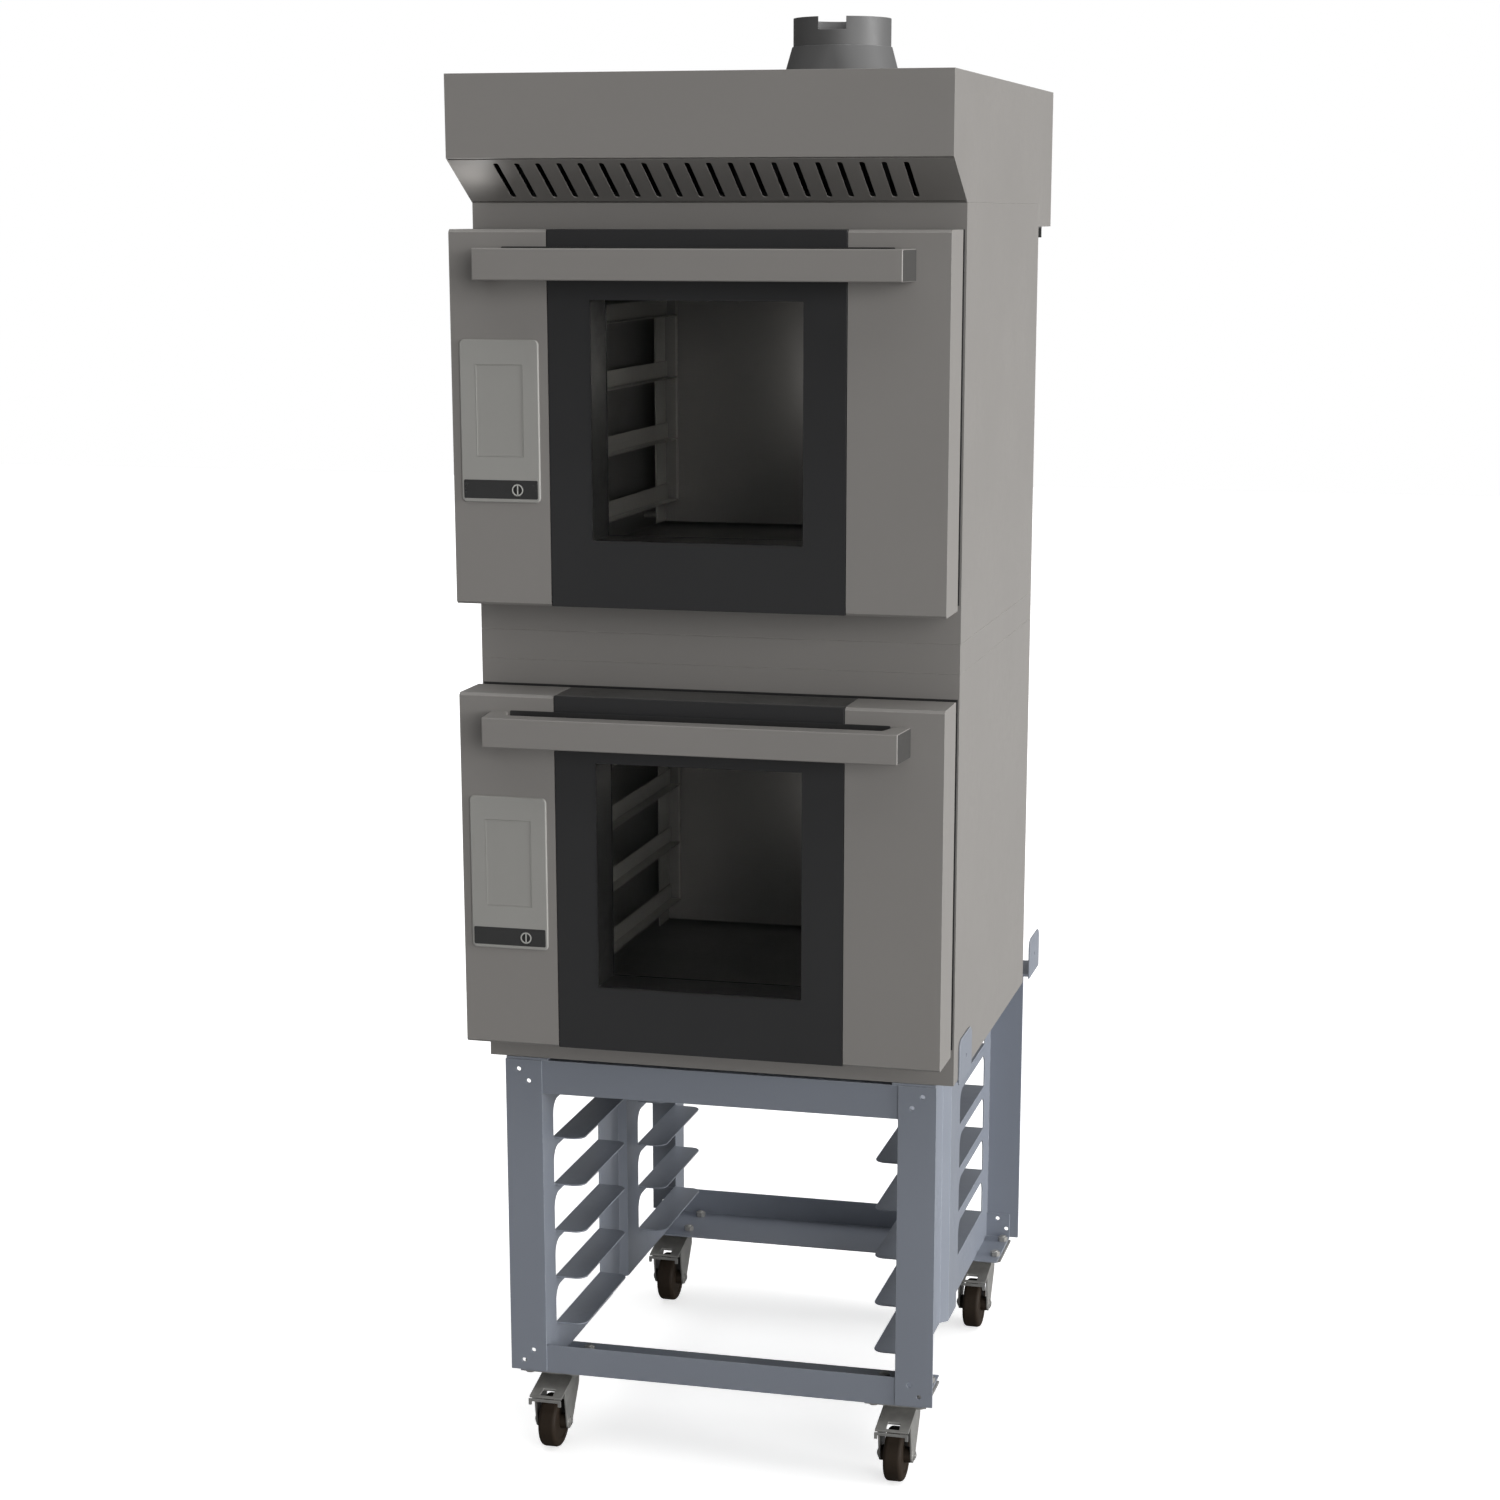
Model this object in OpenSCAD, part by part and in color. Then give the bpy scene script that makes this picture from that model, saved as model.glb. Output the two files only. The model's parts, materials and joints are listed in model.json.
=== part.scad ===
// Two stacked electric bakery ovens with drop-down doors, under an extraction hood, on a wheeled tray stand.
// Millimetres, +Z up, front towards -Y. The origin is on the floor below the middle of the whole object.
// Modules work from a datum at the casings' front plane, which in_frame() moves to the origin's place.

/* [Ovens] */
// Width of an oven casing
oven_w = 600; // [590:1:640]
// Height of one oven casing
oven_h = 510; // [500:1:560]
// Depth of an oven casing
oven_d = 528; // [524:1:600]
// Sheet thickness of the casings, chambers and hood
sheet_t = 1.5; // [1:0.1:2.5]
// Height of the spacer between the two ovens
spacer_h = 36; // [20:1:80]
// Space between a baking chamber and the casing's sides
cavity_side = 108; // [95:1:112]
// Space between a baking chamber's ceiling and the casing's top
cavity_head = 82; // [72:1:100]
// Height of the chamber floor above the casing bottom
cavity_floor = 92; // [80:1:100]
// Depth of the machine space behind a baking chamber
machine_d = 73; // [70:1:90]
// Depth of the fan space behind the fan baffle
fan_space = 69; // [63:1:72]
// Thickness of the insulation round a chamber
insulation_t = 36; // [25:1:40]

/* [Tray racks] */
// Width of a tray rack beside the trays
rack_side = 29.5; // [25:0.5:36]
// Number of runner levels in an oven
rack_levels = 4; // [3:1:5]
// Height of the lowest runner above the chamber floor
rack_first = 35; // [30:1:45]
// Height of the chamber above the top runner's ledge
rack_head = 61; // [50:1:80]
// Width of a runner's ledge
runner_w = 16; // [12:1:20]
// Height of a runner's web
runner_h = 22; // [14:1:26]
// Gap between the runners and the fan baffle
runner_end = 6; // [4:1:20]

/* [Fans and heaters] */
// Diameter of a fan wheel
fan_d = 224; // [180:1:240]
// Depth of a fan wheel
fan_depth = 46; // [35:1:50]
// Number of fan blades
fan_blades = 12; // [8:1:16]
// Diameter of the fan and motor shaft
fan_shaft_d = 12; // [8:1:16]
// Diameter of a ring heater at its tube's middle
heater_d = 260; // [254:1:280]
// Diameter of a heater tube
heater_tube_d = 8; // [6:0.5:10]
// Diameter of a fan motor
motor_d = 90; // [70:1:110]
// Length of a fan motor
motor_l = 50; // [40:1:54]

/* [Doors] */
// Distance of a door's side edges inside the casing's sides
door_side_gap = 1; // [1:0.5:8]
// Distance of a door's top below the casing's top
door_head = 30; // [24:1:38]
// Thickness of a door
door_t = 71; // [64:1:80]
// Gap between the casing front and the door's back
door_gap = 18; // [16:1:22]
// Height of a door's lower edge above the casing bottom
door_sill = 42; // [40:1:46]
// Sheet thickness of the door skins
skin_t = 1.5; // [1:0.1:2]
// Bevel along the top and bottom edges of a door panel
door_bevel = 3; // [2:0.5:5]
// Width of a door's side panels
side_panel_w = 120; // [116:1:128]
// Thickness of the centre glass
glass_t = 6; // [4:0.5:8]
// Width of the glass's dark border beside the window opening
glass_border = 51; // [44:1:60]
// Distance of the window opening below the door's top
window_head = 80; // [74:1:95]
// Height of the window opening above the door's lower edge
window_sill = 79; // [70:1:85]
// Thickness of the inner glass
inner_glass_t = 4; // [3:0.5:5]
// Overlap of the inner glass round the window opening
inner_glass_lap = 16; // [10:1:20]

/* [Handles] */
// Distance of a handle's front corners inside the door's side edges
handle_side = 45.5; // [39:0.5:60]
// Height of a handle
handle_h = 36; // [28:1:40]
// Reach of a handle in front of the door
handle_out = 52; // [48:1:60]
// Thickness of the handle bar
bar_t = 25; // [18:1:28]
// Distance of a handle's top below the door's top
handle_drop = 21; // [15:1:30]
// Width of a handle's end where it meets the door
handle_end = 21; // [16:1:26]
// Outward splay of a handle's ends
handle_splay = 5; // [2:0.5:8]

/* [Controls] */
// Width of a control panel
panel_w = 98; // [90:1:100]
// Height of a control panel
panel_h = 190; // [180:1:196]
// Corner radius of a control panel
panel_r = 6; // [3:0.5:10]
// Distance of a control panel from the door's left edge
panel_side = 10.5; // [9:0.5:12]
// Height of a control panel above the door's lower edge
panel_sill = 122; // [110:1:130]
// Height that a control panel stands proud of the door
panel_proud = 2.5; // [2.2:0.1:3]
// Width of a display
display_w = 58; // [50:1:64]
// Height of a display
display_h = 107; // [95:1:112]
// Thickness of a display
display_t = 2; // [1.5:0.1:3]
// Height of a display above the control panel's lower edge
display_sill = 54; // [50:1:60]
// Diameter of a power button
button_d = 15; // [12:0.5:18]
// Length of a power button
button_l = 5; // [4:0.5:6]
// Travel of a power button
button_travel = 1; // [0.6:0.1:1.5]
// Height of a button's middle above the control panel's lower edge
button_sill = 15; // [12:0.5:18]
// Distance of a button's middle from the control panel's right edge
button_side = 28; // [20:1:40]

/* [Hinges] */
// Diameter of a hinge pin
hinge_pin_d = 10; // [8:1:12]
// Distance of a hinge pin in front of the door's back
hinge_in = 15; // [14:1:17]
// Height of a hinge pin above the door's lower edge
hinge_up = 15; // [14:1:17]
// Distance of a hinge lug's middle from the door's side
hinge_side = 19; // [18.5:0.5:24]
// Thickness of a hinge lug
lug_t = 8; // [6:1:9]

/* [Hood] */
// Height of the hood above the upper oven
hood_h = 145; // [135:1:170]
// Height of the hood's front face
hood_front_h = 95; // [85:1:100]
// Reach of the hood behind the ovens
hood_over = 103; // [90:1:130]
// Depth that the hood's back drops below the oven's top
hood_drop = 29; // [20:1:40]
// Number of intake slots
slot_count = 20; // [14:1:22]
// Step between intake slots
slot_pitch = 25.6; // [22:0.1:26]
// Width of an intake slot
slot_w = 6.5; // [4:0.5:8]
// Length of an intake slot
slot_l = 78; // [60:1:84]
// Diameter of the flue collar
flue_d = 125; // [120:1:130]
// Height of the round part of the flue collar
flue_h = 35; // [30:1:50]
// Side of the flue's foot
flue_foot = 150; // [140:1:160]
// Height of the flue's blend from foot to round
flue_rise = 49; // [40:1:60]
// Place of the flue to the right of the middle
flue_x = 62.5; // [40:0.5:80]
// Distance of the flue's middle ahead of the hood's back
flue_back = 231; // [210:1:250]
// Width of the notch in the flue's rim
notch_w = 36; // [24:1:44]
// Depth of the notch in the flue's rim
notch_h = 16; // [12:1:17]
// Diameter of the blower wheel
blower_d = 160; // [140:1:170]
// Height of the blower wheel
blower_h = 56; // [40:1:60]

/* [Stand] */
// Distance of the stand's front ahead of the casings' front
stand_lead = 3; // [1:0.5:6]
// Reach of the stand behind the ovens
stand_back = 139; // [110:1:170]
// Height of the side panels
stand_h = 421; // [400:1:460]
// Distance of a side panel's outer face inside the ovens' sides
stand_inset = 67; // [62:1:72]
// Sheet thickness of the stand
stand_t = 2; // [1.5:0.1:3]
// Width of a side panel's front and rear flanges
flange_w = 46.5; // [44:0.5:50]
// Number of tray tiers
tier_count = 5; // [3:1:5]
// Height step between tray tiers
tier_pitch = 63.6; // [58:0.2:66]
// Height of the lowest tray tier above the side panel's lower edge
tier_first = 52; // [46:1:60]
// Length of a pressed window
tray_window_l = 198; // [180:1:204]
// Height of a pressed window
tray_window_h = 48; // [42:1:50]
// Distance of a pressed window from the stand's front or back
tray_window_inset = 44.5; // [40:0.5:50]
// Reach of a tray tongue inwards
tongue_l = 39; // [30:1:42]
// Depth of the pressed rib in the middle of a side panel
rib_out = 10; // [6:1:12]
// Width of the flat of the pressed rib
rib_w = 56; // [40:1:70]
// Height of the top rails
top_rail_h = 44; // [38:1:50]
// Height of the bottom rails' upright wall
bottom_rail_h = 36; // [30:1:42]
// Depth of the bottom rails' flat
bottom_rail_d = 111; // [108:1:120]
// Reach of the rails beyond a side panel's outer face
rail_reach = 34; // [32:1:39]
// Diameter of the open holes at the stand's corners
corner_hole_d = 6; // [4:1:8]
// Height of an upright ear above the ovens' base
ear_h = 50; // [40:1:60]
// Length of an upright ear
ear_l = 84; // [70:1:95]
// Diameter of the hole in an ear
ear_hole_d = 6.5; // [5:0.5:9]

/* [Casters] */
// Height of a caster from the floor to the top of its plate
caster_h = 109; // [107:1:116]
// Distance of a caster's swivel inside a side panel's outer face
caster_in = 3; // [1:1:11]
// Distance of a caster's swivel from the stand's front or back
caster_inset = 53; // [51:1:56]
// Height of a caster above its wheel
caster_head = 39; // [37:1:43]
// Width of a caster wheel
wheel_w = 24; // [20:1:26]
// Distance of the wheel's axle ahead of the swivel
trail = 30; // [28:1:32]
// Diameter of a wheel's axle
axle_d = 10; // [8:1:12]
// Diameter of a caster's kingpin
kingpin_d = 12; // [10:1:14]
// Thickness of a fork's cheeks
cheek_t = 2.5; // [2:0.1:3]

/* [Hidden] */
$fn = 48;

// Overshoot of every cut
cut = 1;
// Clearances: running fit, gap between moving neighbours, gap between fitted sheets
run_fit = 0.05;
free_gap = 0.4;
sheet_gap = 0.3;

// Colours
casing_grey = [0.43, 0.42, 0.40];
panel_grey = [0.52, 0.52, 0.50];
glass_dark = [0.13, 0.13, 0.13, 0.9];
glass_clear = [0.6, 0.65, 0.65, 0.5];
steel = [0.70, 0.70, 0.70];
dark_steel = [0.30, 0.30, 0.30];
black_rubber = [0.08, 0.08, 0.08];
stand_blue = [0.46, 0.49, 0.54];
wheel_brown = [0.17, 0.14, 0.12];
wool = [0.85, 0.82, 0.70];

// Levels of the stack above the floor
stand_z0 = caster_h + stand_t;
stand_top = stand_z0 + stand_h;
rest_t = 3;
oven_z0 = stand_top + rest_t;
hood_z0 = oven_z0 + 2 * oven_h + spacer_h;
hood_top = hood_z0 + hood_h;

// Widths that follow the ovens' width
cavity_w = oven_w - 2 * cavity_side;
tray_w = cavity_w - 2 * rack_side;
door_w = oven_w - 2 * door_side_gap;
glass_w = door_w - 2 * side_panel_w;
window_w = glass_w - 2 * glass_border;
handle_w = door_w - 2 * handle_side;
web_x = oven_w / 2 - stand_inset;
rail_half = web_x + rail_reach;
caster_x = web_x - caster_in;

// Heights that follow an oven's height
cavity_h = oven_h - cavity_floor - cavity_head;
door_h = oven_h - door_sill - door_head;
window_h = door_h - window_sill - window_head;

// Depths of the stack from the casings' front plane
cavity_d = oven_d - machine_d;
baffle_y = cavity_d - fan_space;
door_back = -door_gap;
door_front = -(door_gap + door_t);
handle_front = door_front - handle_out;
stand_y0 = -stand_lead;
stand_y1 = oven_d + stand_back;
hood_back = oven_d + hood_over;
flue_y = hood_back - flue_back;
frame_y = (handle_front + max(stand_y1, hood_back)) / 2;

// Door levels above an oven's base
door_top = door_sill + door_h;
window_z0 = door_sill + window_sill;
window_z1 = window_z0 + window_h;
handle_top = door_top - handle_drop;
panel_x0 = -door_w / 2 + panel_side;
panel_z0 = door_sill + panel_sill;
button_x = panel_x0 + panel_w - button_side;
button_z = panel_z0 + button_sill;
button_proud = 0.6;
control_face = door_front - panel_proud;
button_face = control_face - button_proud;
plug_d = 9;
plug_lip = 4;

// Depth of the pan behind the door panels
pan_d = 50;

// Seam between the door panels and the centre glass
seam = 0.6;

// Hinge axis and its lug
hinge_x = door_w / 2 - hinge_side;
hinge_y = door_back - hinge_in;
hinge_z = door_sill + hinge_up;
lug_wall = 4;
lug_r = hinge_pin_d / 2 + lug_wall;
lug_side_gap = 1.5;
lug_end_gap = 2;
pocket_half = lug_t / 2 + lug_side_gap;
pocket_r = lug_r + lug_end_gap;
boss_t = 8;

// Fan line in the middle of a chamber
fan_z = cavity_floor + cavity_h / 2;
fan_clear = 9;
fan_back = cavity_d - fan_clear;
fan_front = fan_back - fan_depth;
motor_stand = 12;
motor_y0 = cavity_d + sheet_t + motor_stand;
heater_clear = 30;
heater_y = cavity_d - heater_clear;
heater_leg = 12;

// Runners, from behind the casing front to the baffle
runner_y0 = 20;
runner_y1 = baffle_y - runner_end;
rack_pitch = (cavity_h - rack_first - rack_head) / (rack_levels - 1);

// Seal round the chamber's mouth
seal_in = 4;
seal_w = 14;
seal_r = 12;

// Gland in a rear cover
gland_side = 100;
gland_x = gland_side - oven_w / 2;
gland_z = 60;
gland_bore_d = 14;
gland_out = 18;

// Slope of the hood's intake face
slope_run = door_gap + door_t;
slope_rise = hood_h - hood_front_h;
slope_l = sqrt(slope_run * slope_run + slope_rise * slope_rise);
slope_angle = atan2(slope_rise, slope_run);
slope_edge = 4;
slope_open = 5;
floor_open = 10;

// Blower below the flue
blower_up = 30;
blower_z0 = hood_z0 + sheet_t + blower_up;
blower_shaft_d = 10;

// Stand rails, corner holes and rest rails
rail_y0 = stand_y0 + stand_t;
hole_edge = 17.5;
hole_step = 13;
hole_end_near = 13;
hole_end_far = 28;
ear_front_inset = 31;
ear_rear_inset = 10;
rest_in = 8;
rest_edge = 1;
rest_x0 = web_x - stand_t - rest_in;
rest_x1 = oven_w / 2 + sheet_gap;

// Caster pieces, measured from the swivel axis and the floor
plate_t = 3.5;
plate_l = 90;
plate_w = 80;
plate_hole_x = 60;
plate_hole_y = 66;
plate_bolt_d = 8;
head_t = 5;
head_r = 31;
head_z1 = caster_h - plate_t - free_gap;
head_z0 = head_z1 - head_t;
wheel_d = caster_h - caster_head;
axle_z = wheel_d / 2;
cheek_gap = 7.4;
cheek_in = wheel_w / 2 + cheek_gap;
cheek_out = cheek_in + cheek_t;
crown_t = 2.5;
crown_slope = 0.23;
crown_up = 10;
crown_reach = 35;
crown_top = wheel_d + crown_up;
crown_front = -trail - crown_reach;
crown_back = -12;
pivot_lead = 11;
pivot_drop = 9.5;
pivot_y = -trail - pivot_lead;
pivot_z = crown_top + (pivot_y - crown_front) * crown_slope - pivot_drop;
pivot_d = 6;
pedal_t = 2;
pedal_gap = 0.9;
pedal_half = cheek_in - pedal_gap;

// Places the casing-front datum in the object's own frame
module in_frame() translate([0, -frame_y, 0]) children();

// Lower oven is 0, upper oven is 1
module at_oven(i) translate([0, 0, oven_z0 + i * (oven_h + spacer_h)]) children();

module both_ovens() for (i = [0, 1]) at_oven(i) children();

module both_sides() {
    children();
    mirror([1, 0, 0]) children();
}

module front_and_rear() {
    children();
    translate([0, stand_y0 + stand_y1, 0]) mirror([0, 1, 0]) children();
}

module at_caster(side, end) {
    y = end < 0 ? stand_y0 + caster_inset : stand_y1 - caster_inset;
    translate([side * caster_x, y, 0]) children();
}

// Box between two corners
module box(x0, x1, y0, y1, z0, z1) translate([x0, y0, z0]) cube([x1 - x0, y1 - y0, z1 - z0]);

// Box that is centred across the object
module slab(half, y0, y1, z0, z1) box(-half, half, y0, y1, z0, z1);

module rod_x(x0, x1, y, z, r) translate([x0, y, z]) rotate([0, 90, 0]) cylinder(r = r, h = x1 - x0);

module rod_y(y0, y1, x, z, r) translate([x, y0, z]) rotate([-90, 0, 0]) cylinder(r = r, h = y1 - y0);

module rod_z(z0, z1, x, y, r) translate([x, y, z0]) cylinder(r = r, h = z1 - z0);

// Outline in Y and Z, drawn along X
module along_x(x0, x1) translate([x0, 0, 0]) rotate([90, 0, 90]) linear_extrude(x1 - x0) children();

// Outline in X and Z, drawn along Y
module along_y(y0, y1) translate([0, y1, 0]) rotate([90, 0, 0]) linear_extrude(y1 - y0) children();

// Outline in X and Y, drawn along Z
module along_z(z0, z1) translate([0, 0, z0]) linear_extrude(z1 - z0) children();

// Rectangle with round corners, from its lower left corner
module round_rect(w, h, r) {
    translate([r, 0]) square([w - 2 * r, h]);
    translate([0, r]) square([w, h - 2 * r]);
    for (x = [r, w - r], y = [r, h - r]) translate([x, y]) circle(r);
}

// Rectangle whose two upper corners are round, from its lower left corner
module arch(w, h, r) {
    square([w, h - r]);
    translate([r, 0]) square([w - 2 * r, h]);
    for (x = [r, w - r]) translate([x, h - r]) circle(r);
}

// Ovens

module cavity_block(y0, y1, grow)
    slab(cavity_w / 2 + grow, y0, y1, cavity_floor - grow, cavity_floor + cavity_h + grow);

module casing() color(casing_grey) difference() {
    slab(oven_w / 2, 0, oven_d, 0, oven_h);
    slab(oven_w / 2 - sheet_t, sheet_t, oven_d + cut, sheet_t, oven_h - sheet_t);
    cavity_block(-cut, sheet_t + cut, sheet_t);
}

// Heater legs: radius, and angle from the ring's lowest point
leg_sleeve = 1.5;
leg_r = heater_tube_d / 2 + leg_sleeve;
leg_angle = asin(heater_leg / (heater_d / 2));

module heater_legs(y0, y1, r) for (side = [-1, 1])
    rod_y(y0, y1, side * heater_leg, fan_z - heater_d / 2 * cos(leg_angle), r);

shaft_room = 4;
module cavity() color(steel) difference() {
    cavity_block(0, cavity_d + sheet_t, sheet_t);
    cavity_block(-cut, cavity_d, 0);
    rod_y(cavity_d - cut, cavity_d + sheet_t + cut, 0, fan_z, fan_shaft_d / 2 + shaft_room);
    heater_legs(cavity_d - cut, cavity_d + sheet_t + cut, leg_r + free_gap);
}

module stacking_spacer() color(casing_grey) translate([0, 0, oven_z0 + oven_h]) difference() {
    slab(oven_w / 2, 0, oven_d, 0, spacer_h);
    slab(oven_w / 2 - sheet_t, sheet_t, oven_d - sheet_t, -cut, spacer_h + cut);
}

insulation_short = 10;
module insulation() color(wool) both_ovens() difference() {
    cavity_block(2 * sheet_t, cavity_d - insulation_short, sheet_t + insulation_t);
    cavity_block(0, cavity_d, sheet_t);
}

// Rear cover with two fields of vent slots and the gland's hole
vent_l = 90;
vent_h = 5;
vent_step = 14;
vent_rows = 8;
vent_x = oven_w / 4;
module rear_covers() color(casing_grey) both_ovens() difference() {
    slab(oven_w / 2 - sheet_t, oven_d - sheet_t, oven_d, sheet_t, oven_h - sheet_t);
    for (side = [-1, 1], k = [0 : vent_rows - 1])
        translate([side * vent_x - vent_l / 2, 0, oven_h / 2 + k * vent_step])
            box(0, vent_l, oven_d - sheet_t - cut, oven_d + cut, 0, vent_h);
    gland_rod(oven_d - sheet_t - cut, oven_d + cut, gland_wall);
}

gland_wall = 2;
gland_flange = 6;
gland_nut_t = 5;
gland_back = oven_d - sheet_t - gland_nut_t;
module gland_rod(y0, y1, wall) rod_y(y0, y1, gland_x, gland_z, gland_bore_d / 2 + wall);

module cable_glands() color(black_rubber) both_ovens() difference() {
    union() {
        gland_rod(gland_back, oven_d + gland_out, gland_wall);
        gland_rod(gland_back, oven_d - sheet_t, gland_flange);
        gland_rod(oven_d, oven_d + gland_out, gland_flange);
    }
    gland_rod(gland_back - cut, oven_d + gland_out + cut, 0);
}

// Baffle: a plain plate on four posts, with a return slot along its top
baffle_side = 12;
baffle_end = 6;
baffle_slot_side = 72;
baffle_slot_end = 16;
baffle_slot_h = 14;
baffle_post_side = 32;
baffle_post_end = 38;
baffle_post_x = cavity_w / 2 - baffle_post_side;
baffle_post_z = cavity_h / 2 - baffle_post_end;
baffle_post_r = 5;
module fan_baffles() color(dark_steel) both_ovens() difference() {
    plate_top = cavity_floor + cavity_h - baffle_end;
    slot_top = plate_top - baffle_slot_end;
    union() {
        slab(cavity_w / 2 - baffle_side, baffle_y, baffle_y + sheet_t, cavity_floor + baffle_end, plate_top);
        for (x = [-1, 1], z = [-1, 1])
            rod_y(baffle_y, cavity_d, x * baffle_post_x, fan_z + z * baffle_post_z, baffle_post_r);
    }
    slab(cavity_w / 2 - baffle_slot_side, baffle_y - cut, baffle_y + sheet_t + cut,
         slot_top - baffle_slot_h, slot_top);
}

// Fan wheel with its hub and shaft
fan_plate_t = 2;
fan_hub_wall = 10;
fan_hub_r = fan_shaft_d / 2 + fan_hub_wall;
fan_hub_set = 16;
fan_shaft_set = 10;
fan_blade_l = 34;
fan_blade_t = 2;
blade_sink = 1;
fan_shaft_in = 26;
module fan() color(steel) {
    rod_y(fan_back - fan_plate_t, fan_back, 0, fan_z, fan_d / 2);
    difference() {
        rod_y(fan_front, fan_front + fan_plate_t, 0, fan_z, fan_d / 2);
        rod_y(fan_front - cut, fan_front + fan_plate_t + cut, 0, fan_z, fan_d / 2 - fan_blade_l);
    }
    for (k = [0 : fan_blades - 1]) translate([0, 0, fan_z]) rotate([0, k * 360 / fan_blades, 0])
        box(fan_d / 2 - fan_blade_l, fan_d / 2 - blade_sink, fan_front + blade_sink, fan_back - blade_sink,
            -fan_blade_t / 2, fan_blade_t / 2);
    rod_y(fan_front + fan_hub_set, fan_back, 0, fan_z, fan_hub_r);
    rod_y(fan_front + fan_shaft_set, motor_y0 + fan_shaft_in, 0, fan_z, fan_shaft_d / 2);
}

// Motor on a foot strip that stands on two posts
motor_foot_out = 7;
motor_foot_x = motor_d / 2 + motor_foot_out;
motor_foot_end = 8;
motor_foot_half = 12;
motor_foot_t = 3;
motor_post_r = 6;
shaft_end_gap = 2;
module fan_motors() color(dark_steel) both_ovens() difference() {
    union() {
        rod_y(motor_y0, motor_y0 + motor_l, 0, fan_z, motor_d / 2);
        slab(motor_foot_x + motor_foot_end, motor_y0, motor_y0 + motor_foot_t,
             fan_z - motor_foot_half, fan_z + motor_foot_half);
        for (side = [-1, 1])
            rod_y(cavity_d + sheet_t, motor_y0 + motor_foot_t / 2, side * motor_foot_x, fan_z, motor_post_r);
    }
    rod_y(motor_y0 - cut, motor_y0 + fan_shaft_in + shaft_end_gap, 0, fan_z, fan_shaft_d / 2 + run_fit);
}

heater_collar_t = 3;
heater_collar_w = 3;
heater_tail = 30;
module ring_heaters() color(dark_steel) both_ovens() {
    translate([0, heater_y, fan_z]) rotate([90, 0, 0])
        rotate_extrude() translate([heater_d / 2, 0]) circle(d = heater_tube_d);
    heater_legs(heater_y - leg_r, cavity_d + heater_tail, leg_r);
    heater_legs(cavity_d + sheet_t, cavity_d + sheet_t + heater_collar_t, leg_r + heater_collar_w);
}

// Right-hand rack: L-shaped runners on two flat posts that stand off the wall on pegs, and a rear stop
tray_side_gap = 4;
post_w = 45;
post_t = 2;
post_end = 8;
post_set = 5;
peg_r = 4;
peg_end = 10;
stop_w = 3;
module tray_rack() {
    web_in = tray_w / 2 + tray_side_gap;
    web_out = web_in + sheet_t;
    ledge_in = web_out - runner_w;
    post_z0 = cavity_floor + post_end;
    post_z1 = cavity_floor + cavity_h - post_end;
    for (y = [runner_y0 + post_set, runner_y1 - post_set - post_w]) {
        box(web_out, web_out + post_t, y, y + post_w, post_z0, post_z1);
        for (z = [post_z0 + peg_end, post_z1 - peg_end])
            rod_x(web_out + post_t / 2, cavity_w / 2, y + post_w / 2, z, peg_r);
    }
    for (k = [0 : rack_levels - 1]) {
        z = cavity_floor + rack_first + k * rack_pitch;
        box(web_in, web_out, runner_y0, runner_y1, z, z + runner_h);
        box(ledge_in, web_out, runner_y0, runner_y1, z, z + sheet_t);
    }
    box(ledge_in, ledge_in + stop_w, runner_y1 - stop_w, runner_y1,
        cavity_floor + rack_first, cavity_floor + rack_first + (rack_levels - 1) * rack_pitch + runner_h);
}

module tray_racks() color(steel) both_ovens() both_sides() tray_rack();

module door_seals() color(black_rubber) both_ovens() {
    w = cavity_w + 2 * seal_in;
    h = cavity_h + 2 * seal_in;
    along_y(door_back + free_gap, 0) translate([-w / 2, cavity_floor - seal_in]) difference() {
        translate([-seal_w, -seal_w]) round_rect(w + 2 * seal_w, h + 2 * seal_w, seal_r + seal_w);
        round_rect(w, h, seal_r);
    }
}

// Hinge lug with its pin and base, one at each lower corner of a door
lug_base_t = 3;
lug_base_half = 12;
module door_hinges() color(dark_steel) both_ovens() both_sides() {
    rod_x(hinge_x - lug_t / 2, hinge_x + lug_t / 2, hinge_y, hinge_z, lug_r);
    box(hinge_x - lug_t / 2, hinge_x + lug_t / 2, hinge_y, -lug_base_t / 2, hinge_z - lug_r, hinge_z + lug_r);
    box(hinge_x - lug_base_half, hinge_x + lug_base_half, -lug_base_t, 0, hinge_z - lug_r, hinge_z + lug_r);
    rod_x(hinge_x - pocket_half - boss_t, hinge_x + pocket_half + boss_t, hinge_y, hinge_z, hinge_pin_d / 2);
}

// Doors

// Shrink of the 45 degree bevel for each millimetre that the skin is set in
bevel_shrink = 1 - tan(45 / 2);

// Side view of a door skin, set in by a wall
module door_section(wall) {
    back = door_back + (wall > 0 ? cut : 0);
    z0 = door_sill + wall;
    z1 = door_top - wall;
    y0 = door_front + wall;
    turn = door_bevel - wall * bevel_shrink;
    polygon([[back, z0], [y0 + turn, z0], [y0, z0 + turn], [y0, z1 - turn], [y0 + turn, z1], [back, z1]]);
}

// Room for the hinge lugs to swing in
module hinge_pockets() both_sides()
    box(hinge_x - pocket_half, hinge_x + pocket_half, hinge_y - pocket_r, door_back + cut,
        door_sill - cut, hinge_z + pocket_r);

module door_side_panel() difference() {
    along_x(glass_w / 2 + seam, door_w / 2) door_section(0);
    along_x(glass_w / 2 + seam - cut, door_w / 2 - skin_t) door_section(skin_t);
    hinge_pockets();
}

module door_right_panel() color(casing_grey) door_side_panel();

module control_outline(inset) translate([panel_x0 + inset, panel_z0 + inset])
    round_rect(panel_w - 2 * inset, panel_h - 2 * inset, panel_r - inset / 2);

module door_left_panel() color(casing_grey) difference() {
    mirror([1, 0, 0]) door_side_panel();
    along_y(door_front - cut, door_front + skin_t + cut) control_outline(plug_lip - sheet_gap);
}

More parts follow.
